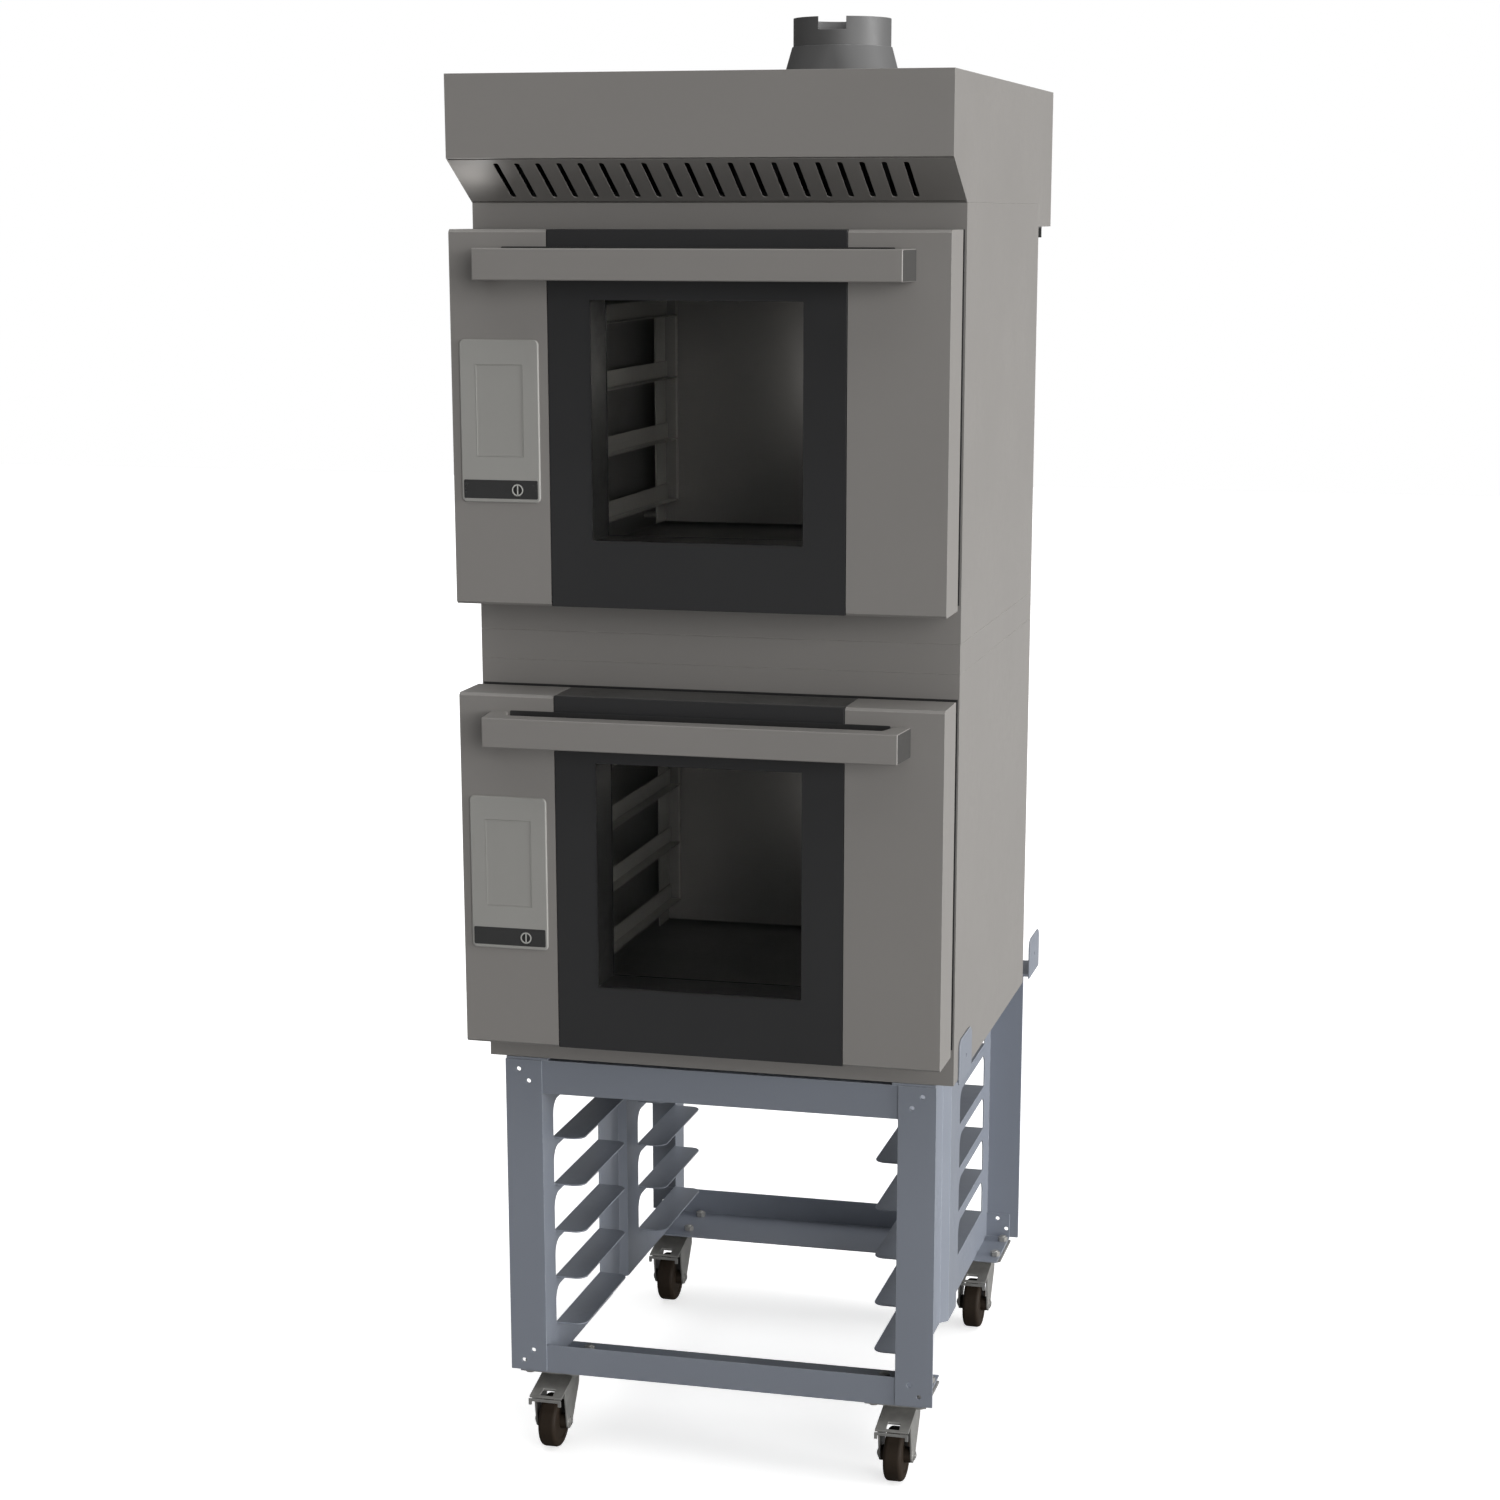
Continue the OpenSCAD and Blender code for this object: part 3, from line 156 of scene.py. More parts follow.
class Deck(Enum):
    """The two ovens of the stack."""

    LOWER = "lower"
    UPPER = "upper"


class Corner(Enum):
    """The four casters of the stand."""

    FRONT_LEFT = "front_left"
    FRONT_RIGHT = "front_right"
    REAR_LEFT = "rear_left"
    REAR_RIGHT = "rear_right"


def everything(at: Vector, way: Vector) -> bool:
    """Passes every element."""
    return True


def along(axis: Axis, sign: int = 0) -> Test:
    """Makes a test for faces that look along an axis, or edges that lie along it.

    Args:
        axis: Axis to follow.
        sign: Direction on it, or 0 for both.
    Returns:
        The test.
    """
    if sign == 0:
        return lambda at, way: abs(way[axis.value]) > FLAT
    return lambda at, way: sign * way[axis.value] > FLAT


def central(centre: Vector, axis: Axis, sign: int = 0) -> Test:
    """Makes a test for faces that look along an axis and have their middle on it.

    Args:
        centre: Point that the axis goes through.
        axis: Axis to follow.
        sign: Direction on it, or 0 for both.
    Returns:
        The test.
    """
    facing = along(axis, sign)
    return lambda at, way: facing(at, way) and (at - centre).cross(axis.way).length < MIDDLE


class Bench:
    """Hand-modelling steps, each on one mesh at a time."""

    @staticmethod
    def clear() -> None:
        """Leaves edit mode and deselects every object."""
        active = bpy.context.view_layer.objects.active
        if active is not None and active.mode != "OBJECT":
            bpy.ops.object.mode_set(mode="OBJECT")
        bpy.ops.object.select_all(action="DESELECT")

    @staticmethod
    def hold(piece: Piece) -> None:
        """Makes one piece the only selected and active object.

        Args:
            piece: Piece to hold.
        """
        Bench.clear()
        piece.select_set(True)
        bpy.context.view_layer.objects.active = piece

    @staticmethod
    def named(name: str) -> Piece:
        """Names the new primitive, and moves its place and size into its mesh.

        Args:
            name: Name of the piece and of its mesh.
        Returns:
            The piece.
        """
        piece = bpy.context.view_layer.objects.active
        bpy.ops.object.transform_apply(location=True, rotation=True, scale=True)
        piece.name = piece.data.name = name
        return piece

    @staticmethod
    def block(name: str, low: Sequence[float], high: Sequence[float]) -> Piece:
        """Starts a piece from a cube between two corners.

        Args:
            name: Name of the piece.
            low: Lowest corner in metres.
            high: Highest corner in metres.
        Returns:
            The new piece.
        """
        low, high = Vector(low), Vector(high)
        Bench.clear()
        bpy.ops.mesh.primitive_cube_add(size=1.0, location=(low + high) / 2, scale=high - low)
        return Bench.named(name)

    @staticmethod
    def drum(name: str, centre: Sequence[float], radius: float, length: float, axis: Axis,
             sides: int = HOLE_SIDES) -> Piece:
        """Starts a piece from a cylinder.

        Args:
            name: Name of the piece.
            centre: Middle of the cylinder in metres.
            radius: Radius in metres.
            length: Length in metres.
            axis: Direction that it lies along.
            sides: Number of sides.
        Returns:
            The new piece.
        """
        Bench.clear()
        bpy.ops.mesh.primitive_cylinder_add(vertices=sides, radius=radius, depth=length,
                                            location=centre, rotation=axis.turn)
        return Bench.named(name)

    @staticmethod
    def choose(piece: Piece, domain: Domain, test: Test) -> None:
        """Enters edit mode and selects elements by their place and direction.

        Args:
            piece: Piece to edit.
            domain: Kind of element.
            test: Takes the middle, and the normal or the edge's direction, and says what to select.
        """
        Bench.hold(piece)
        bpy.ops.object.mode_set(mode="EDIT")
        bpy.ops.mesh.select_mode(type=domain.value)
        bpy.ops.mesh.select_all(action="DESELECT")
        mesh = bmesh.from_edit_mesh(piece.data)
        mesh.normal_update()
        if domain is Domain.FACE:
            for face in mesh.faces:
                face.select_set(test(face.calc_center_median(), face.normal))
        elif domain is Domain.EDGE:
            for edge in mesh.edges:
                start, end = (vert.co for vert in edge.verts)
                edge.select_set(test((start + end) / 2, (end - start).normalized()))
        else:
            for vert in mesh.verts:
                vert.select_set(test(vert.co, vert.normal))
        mesh.select_flush_mode()
        bmesh.update_edit_mesh(piece.data)

    @staticmethod
    def edit(piece: Piece, domain: Domain, test: Test, tool: Callable[..., set[str]],
             **options: object) -> None:
        """Uses a mesh tool on the elements that pass a test.

        Args:
            piece: Piece to edit.
            domain: Kind of element.
            test: Takes an element's middle, and its normal or direction.
            tool: Mesh tool to use.
            options: Settings of the tool.
        """
        Bench.choose(piece, domain, test)
        tool(**options)
        bpy.ops.object.mode_set(mode="OBJECT")

    @staticmethod
    def shift(piece: Piece, test: Test, offset: Place) -> None:
        """Moves the vertices that pass a test."""
        Bench.edit(piece, Domain.VERT, test, bpy.ops.transform.translate, value=offset)

    @staticmethod
    def draw_out(piece: Piece, test: Test, offset: Place) -> None:
        """Extrudes the faces that pass a test."""
        Bench.edit(piece, Domain.FACE, test, bpy.ops.mesh.extrude_region_move,
                   TRANSFORM_OT_translate={"value": offset})

    @staticmethod
    def inset(piece: Piece, test: Test, width: float, depth: float = 0.0) -> None:
        """Insets each face that passes a test by a width, and raises or sinks it by a depth."""
        Bench.edit(piece, Domain.FACE, test, bpy.ops.mesh.inset, thickness=width, depth=depth,
                   use_individual=True)

    @staticmethod
    def round_edges(piece: Piece, test: Test, radius: float, steps: int = 3) -> None:
        """Bevels the edges that pass a test, with a radius and a number of steps."""
        Bench.edit(piece, Domain.EDGE, test, bpy.ops.mesh.bevel, offset=radius, segments=steps,
                   affect="EDGES", clamp_overlap=True)

    @staticmethod
    def slice(piece: Piece, axis: Axis, *places: float) -> None:
        """Cuts edge loops where planes at some places on an axis, square to it, cross the piece."""
        for place in places:
            Bench.edit(piece, Domain.FACE, everything, bpy.ops.mesh.bisect, plane_co=place * axis.way,
                       plane_no=axis.way)

    @staticmethod
    def pierce(piece: Piece, test: Test) -> None:
        """Opens a hole between the two faces that pass a test."""
        Bench.edit(piece, Domain.FACE, test, bpy.ops.mesh.bridge_edge_loops)

    @staticmethod
    def carve(piece: Piece, cutter: Piece) -> None:
        """Takes a cutter's volume out of a piece, and removes the cutter.

        Args:
            piece: Piece to cut.
            cutter: Piece that is taken out of it.
        """
        Bench.hold(piece)
        cut = piece.modifiers.new("carve", "BOOLEAN")
        cut.operation = "DIFFERENCE"
        cut.object = cutter
        bpy.ops.object.modifier_apply(modifier=cut.name)
        bpy.data.objects.remove(cutter)

    @staticmethod
    def twin(piece: Piece, name: str, offset: Sequence[float]) -> Piece:
        """Copies a piece with its own mesh.

        Args:
            piece: Piece to copy.
            name: Name of the copy.
            offset: Place of the copy from the piece, in metres.
        Returns:
            The copy.
        """
        copy = bpy.data.objects.new(name, piece.data.copy())
        copy.data.name = name
        copy.data.transform(Matrix.Translation(offset))
        bpy.context.scene.collection.objects.link(copy)
        return copy

    @staticmethod
    def gather(pieces: Sequence[Piece], name: str) -> Piece:
        """Joins pieces into one object.

        Args:
            pieces: Pieces to join.
            name: Name of the result.
        Returns:
            The joined piece.
        """
        Bench.hold(pieces[0])
        for piece in pieces:
            piece.select_set(True)
        bpy.ops.object.join()
        pieces[0].name = pieces[0].data.name = name
        return pieces[0]

    @staticmethod
    def spread(first: Piece, offsets: Sequence[Place], name: str) -> Piece:
        """Puts copies of a piece in its stead, joined into one object.

        Args:
            first: Piece to copy and remove.
            offsets: Places of the copies from the piece, in metres.
            name: Name of the result.
        Returns:
            The joined piece.
        """
        copies = [Bench.twin(first, f"{name}_copy", offset) for offset in offsets]
        bpy.data.objects.remove(first)
        return Bench.gather(copies, name)

    @staticmethod
    def shade(piece: Piece, angle: float = SMOOTH_ANGLE) -> None:
        """Smooths by angle and keeps the large faces flat.

        Args:
            piece: Piece to shade.
            angle: Steepest angle that stays smooth, in degrees.
        """
        Bench.hold(piece)
        bpy.ops.object.shade_smooth_by_angle(angle=math.radians(angle))
        weight = piece.modifiers.new("weight", "WEIGHTED_NORMAL")
        weight.keep_sharp = True
        bpy.ops.object.modifier_apply(modifier=weight.name)

    @staticmethod
    def settle(piece: Piece, angle: float = SMOOTH_ANGLE) -> Piece:
        """Merges doubles, turns the normals outwards and shades a modelled piece.

        Args:
            piece: Piece to finish.
            angle: Steepest angle that stays smooth, in degrees.
        Returns:
            The piece.
        """
        Bench.choose(piece, Domain.FACE, everything)
        bpy.ops.mesh.remove_doubles(threshold=SAME_POINT)
        bpy.ops.mesh.normals_make_consistent(inside=False)
        bpy.ops.object.mode_set(mode="OBJECT")
        Bench.shade(piece, angle)
        return piece

    @staticmethod
    def merged(node: str, name: str) -> Piece:
        """Copies a CAD node's mesh, with its triangles merged into whole faces.

        Args:
            node: Name of the CAD node.
            name: Name of the piece.
        Returns:
            The new piece.
        """
        mesh = frame["nodes"][node].data.copy()
        mesh.name = name
        mesh.materials.clear()
        piece = bpy.data.objects.new(name, mesh)
        bpy.context.scene.collection.objects.link(piece)
        Bench.hold(piece)
        if mesh.has_custom_normals:
            bpy.ops.mesh.customdata_custom_splitnormals_clear()
        Bench.choose(piece, Domain.FACE, everything)
        bpy.ops.mesh.remove_doubles(threshold=SAME_CAD_POINT)
        bpy.ops.mesh.dissolve_limited(angle_limit=math.radians(SAME_FACE))
        bpy.ops.object.mode_set(mode="OBJECT")
        return piece


@dataclass(frozen=True)
class Noise:
    """Octaves of a noise texture, strength of the fine ones, and the values that become 0 and 1."""

    detail: float
    roughness: float
    span: tuple[float, float] | None = None


PAINT_GRAIN = Noise(3.0, 0.6)
SCRATCHES = Noise(4.0, 0.65)
COLOUR_DRIFT = Noise(5.0, 0.55, (0.3, 0.7))
HANDLED_PATCHES = Noise(2.0, 0.5, (0.42, 0.68))
WIPED_STREAKS = Noise(6.0, 0.7, (0.3, 0.7))
RUBBED_LINE = Noise(7.0, 0.7, (0.42, 0.66))
DUST_FILM = Noise(6.0, 0.65, (0.35, 0.75))
STREAKS_IN_PATCH = 9.0
DUST_TILT = (0.55, 0.98)
DUST_COLOUR: Colour = (0.42, 0.41, 0.39)


class Pattern(Enum):
    """Shader node groups that the finishes share."""

    SPECKLE = "speckle_grain"
    BRUSHED = "brushed_grain"
    MOTTLE = "mottling"
    MARKS = "handling_marks"
    WEAR = "edge_wear"
    DUST = "settled_dust"

    def group(self) -> Tree:
        """Gives the shader node group, and builds it the first time."""
        made = bpy.data.node_groups.get(self.value)
        return made if made is not None else PATTERN_MAKERS[self](self.value)


def new_group(name: str, *vectors: str) -> tuple[Tree, Sockets, Socket]:
    """Makes an empty shader node group with a density and one value output.

    Args:
        name: Name of the group.
        vectors: Names of its vector inputs.
    Returns:
        The group, the sockets of its inputs and the socket of its output.
    """
    tree = bpy.data.node_groups.new(name, "ShaderNodeTree")
    for label in vectors:
        tree.interface.new_socket(name=label, in_out="INPUT", socket_type="NodeSocketVector")
    tree.interface.new_socket(name="Density", in_out="INPUT", socket_type="NodeSocketFloat")
    tree.interface.new_socket(name="Value", in_out="OUTPUT", socket_type="NodeSocketFloat")
    source, sink = tree.nodes.new("NodeGroupInput"), tree.nodes.new("NodeGroupOutput")
    return tree, source.outputs, sink.inputs[0]


def add_range(tree: Tree, value: Socket, span: tuple[float, float],
              result: tuple[float, float] = (0.0, 1.0)) -> Socket:
    """Adds a clamped change of range.

    Args:
        tree: Node tree to add to.
        value: Value to change.
        span: Lowest and highest value that come in.
        result: Values that they become.
    Returns:
        The changed value.
    """
    node = tree.nodes.new("ShaderNodeMapRange")
    for label, number in zip(("From Min", "From Max", "To Min", "To Max"), span + result):
        node.inputs[label].default_value = number
    tree.links.new(value, node.inputs["Value"])
    return node.outputs["Result"]


def add_noise(tree: Tree, vector: Socket, density: Socket, noise: Noise) -> Socket:
    """Adds a noise texture.

    Args:
        tree: Node tree to add to.
        vector: Coordinates.
        density: Noise cells in a metre.
        noise: Detail and contrast of the noise.
    Returns:
        The noise's value.
    """
    node = tree.nodes.new("ShaderNodeTexNoise")
    node.inputs["Detail"].default_value = noise.detail
    node.inputs["Roughness"].default_value = noise.roughness
    tree.links.new(vector, node.inputs["Vector"])
    tree.links.new(density, node.inputs["Scale"])
    return node.outputs["Fac"] if noise.span is None else add_range(tree, node.outputs["Fac"], noise.span)


def add_product(tree: Tree, first: Socket, second: Socket | float) -> Socket:
    """Multiplies two values.

    Args:
        tree: Node tree to add to.
        first: First value.
        second: Second value, or a plain number.
    Returns:
        The product.
    """
    node = tree.nodes.new("ShaderNodeMath")
    node.operation = "MULTIPLY"
    tree.links.new(first, node.inputs[0])
    if isinstance(second, float):
        node.inputs[1].default_value = second
    else:
        tree.links.new(second, node.inputs[1])
    return node.outputs[0]


def make_plain(name: str, noise: Noise) -> Tree:
    """Builds one even noise: grain of paint, slow drift of colour, or the broken line of a rubbed edge.

    Args:
        name: Name of the group.
        noise: Detail and contrast of the noise.
    Returns:
        The group.
    """
    tree, source, sink = new_group(name, "Vector")
    tree.links.new(add_noise(tree, source["Vector"], source["Density"], noise), sink)
    return tree


def make_brushed(name: str) -> Tree:
    """Builds the long fine scratches of rolled or brushed metal.

    Args:
        name: Name of the group.
    Returns:
        The group.
    """
    tree, source, sink = new_group(name, "Vector", "Stretch")
    stretch = tree.nodes.new("ShaderNodeVectorMath")
    stretch.operation = "MULTIPLY"
    tree.links.new(source["Vector"], stretch.inputs[0])
    tree.links.new(source["Stretch"], stretch.inputs[1])
    tree.links.new(add_noise(tree, stretch.outputs[0], source["Density"], SCRATCHES), sink)
    return tree


def make_marks(name: str) -> Tree:
    """Builds the wiped and handled patches that change a surface's gloss.

    Args:
        name: Name of the group.
    Returns:
        The group.
    """
    tree, source, sink = new_group(name, "Vector")
    patches = add_noise(tree, source["Vector"], source["Density"], HANDLED_PATCHES)
    fine = add_product(tree, source["Density"], STREAKS_IN_PATCH)
    streaks = add_noise(tree, source["Vector"], fine, WIPED_STREAKS)
    tree.links.new(add_product(tree, patches, streaks), sink)
    return tree


def make_dust(name: str) -> Tree:
    """Builds the thin dust that lies on faces that look up.

    Args:
        name: Name of the group.
    Returns:
        The group.
    """
    tree, source, sink = new_group(name, "Vector", "Normal")
    parts = tree.nodes.new("ShaderNodeSeparateXYZ")
    tree.links.new(source["Normal"], parts.inputs[0])
    up = add_range(tree, parts.outputs["Z"], DUST_TILT)
    film = add_noise(tree, source["Vector"], source["Density"], DUST_FILM)
    tree.links.new(add_product(tree, up, film), sink)
    return tree


PATTERN_MAKERS: dict[Pattern, Callable[[str], Tree]] = {
    Pattern.SPECKLE: partial(make_plain, noise=PAINT_GRAIN),
    Pattern.BRUSHED: make_brushed,
    Pattern.MOTTLE: partial(make_plain, noise=COLOUR_DRIFT),
    Pattern.MARKS: make_marks,
    Pattern.WEAR: partial(make_plain, noise=RUBBED_LINE),
    Pattern.DUST: make_dust,
}


class Recipe:
    """A material's node tree while it is put together."""

    def __init__(self, name: str) -> None:
        """Starts a material with its coordinates, shader and output.

        Args:
            name: Name of the material.
        """
        self.material: Material = bpy.data.materials.new(name)
        self.material.use_nodes = True
        self.tree = self.material.node_tree
        self.tree.nodes.clear()
        self.coords = self.tree.nodes.new("ShaderNodeTexCoord").outputs["Object"]
        self.shader = self.tree.nodes.new("ShaderNodeBsdfPrincipled")
        self.output = self.tree.nodes.new("ShaderNodeOutputMaterial")
        self.tree.links.new(self.shader.outputs[0], self.output.inputs["Surface"])

    def feed(self, value: Socket, label: str) -> None:
        """Links a value to one of the shader's inputs."""
        self.tree.links.new(value, self.shader.inputs[label])

    def scaled(self, mask: Socket, low: float, high: float) -> Socket:
        """Turns a mask from 0 to 1 into values from low to high."""
        return add_range(self.tree, mask, (0.0, 1.0), (low, high))

    def pattern(self, pattern: Pattern, density: float, stretch: Colour | None = None) -> Socket:
        """Places a shared pattern.

        Args:
            pattern: Pattern to place.
            density: Its cells in a metre.
            stretch: Scale along each axis, for brushed metal.
        Returns:
            The pattern's output.
        """
        node = self.tree.nodes.new("ShaderNodeGroup")
        node.node_tree = pattern.group()
        node.inputs["Density"].default_value = density
        self.tree.links.new(self.coords, node.inputs["Vector"])
        if stretch is not None:
            node.inputs["Stretch"].default_value = stretch
        if "Normal" in node.inputs:
            normal = self.tree.nodes.new("ShaderNodeNewGeometry").outputs["Normal"]
            self.tree.links.new(normal, node.inputs["Normal"])
        return node.outputs[0]

    def blend(self, mask: Socket, first: Socket | Colour, second: Colour) -> Socket:
        """Mixes two colours by a mask.

        Args:
            mask: Share of the second colour.
            first: Colour or socket where the mask is 0.
            second: Colour where the mask is 1.
        Returns:
            The mixed colour.
        """
        mix = self.tree.nodes.new("ShaderNodeMix")
        mix.data_type = "RGBA"
        self.tree.links.new(mask, mix.inputs[0])
        if isinstance(first, tuple):
            mix.inputs[MIX_FIRST].default_value = (*first, 1.0)
        else:
            self.tree.links.new(first, mix.inputs[MIX_FIRST])
        mix.inputs[MIX_SECOND].default_value = (*second, 1.0)
        return mix.outputs[MIX_RESULT]

    def drift(self, colour: Colour, amount: float, density: float) -> Socket:
        """Lets a colour drift a little lighter and darker over a surface.

        Args:
            colour: Middle colour.
            amount: Share by which it gets lighter and darker.
            density: Patches in a metre.
        Returns:
            The drifting colour.
        """
        mottle = self.pattern(Pattern.MOTTLE, density)
        return self.blend(mottle, tinted(colour, 1 - amount), tinted(colour, 1 + amount))

    def relief(self, height: Socket, depth: float) -> None:
        """Feeds a height pattern to the shader's normal.

        Args:
            height: Height pattern from 0 to 1.
            depth: Depth of the relief in metres.
        """
        bump = self.tree.nodes.new("ShaderNodeBump")
        bump.inputs["Distance"].default_value = depth
        bump.inputs["Strength"].default_value = 1.0
        self.tree.links.new(height, bump.inputs["Height"])
        self.feed(bump.outputs[0], "Normal")


def tinted(colour: Colour, factor: float) -> Colour:
    """Gives a colour made lighter or darker by a factor."""
    return tuple(min(1.0, channel * factor) for channel in colour)


@dataclass(frozen=True)
class Finish:
    """An opaque finish, with its relief, drift of colour, handling marks, dust and worn edges."""

    colour: Colour
    roughness: float
    metallic: float = 0.0
    stretch: Colour | None = None
    grain: float = 900.0
    depth: float = 0.02 * MM
    mottle: float = 0.05
    mottle_density: float = 6.0
    marks: float = 0.08
    marks_density: float = 9.0
    smoothest: float = 0.02
    dust: float = 0.0
    dust_density: float = 25.0
    coat: float = 0.0
    shine: float = 0.5
    edge: Colour | None = None
    edge_lift: float = 1.08
    edge_density: float = 70.0

    def material(self, name: str) -> Material:
        """Builds the material of the faces.

        Args:
            name: Name of the material.
        Returns:
            The material.
        """
        recipe = Recipe(name)
        colour = recipe.drift(self.colour, self.mottle, self.mottle_density)
        if self.dust:
            share = recipe.scaled(recipe.pattern(Pattern.DUST, self.dust_density), 0.0, self.dust)
            colour = recipe.blend(share, colour, DUST_COLOUR)
        self.fill(recipe, colour)
        return recipe.material

    def edge_material(self, name: str) -> Material:
        """Builds the material of the rounded edges, where the finish is rubbed.

        Args:
            name: Name of the material.
        Returns:
            The material.
        """
        recipe = Recipe(name)
        wear = recipe.pattern(Pattern.WEAR, self.edge_density)
        self.fill(recipe, recipe.blend(wear, tinted(self.colour, self.edge_lift), self.edge))
        return recipe.material

    def fill(self, recipe: Recipe, colour: Socket) -> None:
        """Sets the shader's colour, gloss and relief.

        Args:
            recipe: Material that is put together.
            colour: Colour of the surface.
        """
        recipe.feed(colour, "Base Color")
        marks = recipe.pattern(Pattern.MARKS, self.marks_density)
        low, high = max(self.smoothest, self.roughness - self.marks), min(1.0, self.roughness + self.marks)
        recipe.feed(recipe.scaled(marks, low, high), "Roughness")
        recipe.shader.inputs["Metallic"].default_value = self.metallic
        recipe.shader.inputs["Coat Weight"].default_value = self.coat
        recipe.shader.inputs["Specular IOR Level"].default_value = self.shine
        grain = Pattern.SPECKLE if self.stretch is None else Pattern.BRUSHED
        recipe.relief(recipe.pattern(grain, self.grain, self.stretch), self.depth)


@dataclass(frozen=True)
class GlassFinish:
    """Clear glass with a faint wiped film, which lets shadow rays through."""

    tint: Colour
    roughness: float = 0.02
    smear: float = 0.04
    smear_density: float = 6.0
    bend: float = 1.12
    shade: float = 1.0

    def material(self, name: str) -> Material:
        """Builds the glass.

        Args:
            name: Name of the material.
        Returns:
            The material.
        """
        recipe = Recipe(name)
        shader, tree = recipe.shader, recipe.tree
        shader.inputs["Base Color"].default_value = (*self.tint, 1.0)
        shader.inputs["Transmission Weight"].default_value = 1.0
        shader.inputs["IOR"].default_value = self.bend
        marks = recipe.pattern(Pattern.MARKS, self.smear_density)
        recipe.feed(recipe.scaled(marks, self.roughness, self.roughness + self.smear), "Roughness")
        path = tree.nodes.new("ShaderNodeLightPath")
        through = tree.nodes.new("ShaderNodeBsdfTransparent")
        through.inputs["Color"].default_value = (*tinted(self.tint, self.shade), 1.0)
        mix = tree.nodes.new("ShaderNodeMixShader")
        tree.links.new(path.outputs["Is Shadow Ray"], mix.inputs[0])
        tree.links.new(shader.outputs[0], mix.inputs[1])
        tree.links.new(through.outputs[0], mix.inputs[2])
        tree.links.new(mix.outputs[0], recipe.output.inputs["Surface"])
        return recipe.material


@dataclass(frozen=True)
class FloorFinish:
    """Pale matt floor, lit up to the eye and throwing little light back."""

    seen: Colour
    thrown: Colour
    roughness: float = 0.85
    glow: float = 0.66
    mottle: float = 0.02
    mottle_density: float = 1.5
    grain: float = 300.0
    depth: float = 0.05 * MM

    def material(self, name: str) -> Material:
        """Builds the floor's material.

        Args:
            name: Name of the material.
        Returns:
            The material.
        """
        recipe = Recipe(name)
        pale = recipe.drift(self.thrown, self.mottle, self.mottle_density)
        eye = recipe.tree.nodes.new("ShaderNodeLightPath").outputs["Is Camera Ray"]
        recipe.feed(recipe.blend(eye, pale, self.seen), "Base Color")
        recipe.shader.inputs["Roughness"].default_value = self.roughness
        recipe.shader.inputs["Emission Color"].default_value = WHITE
        recipe.feed(recipe.scaled(eye, 0.0, self.glow), "Emission Strength")
        recipe.relief(recipe.pattern(Pattern.SPECKLE, self.grain), self.depth)
        return recipe.material


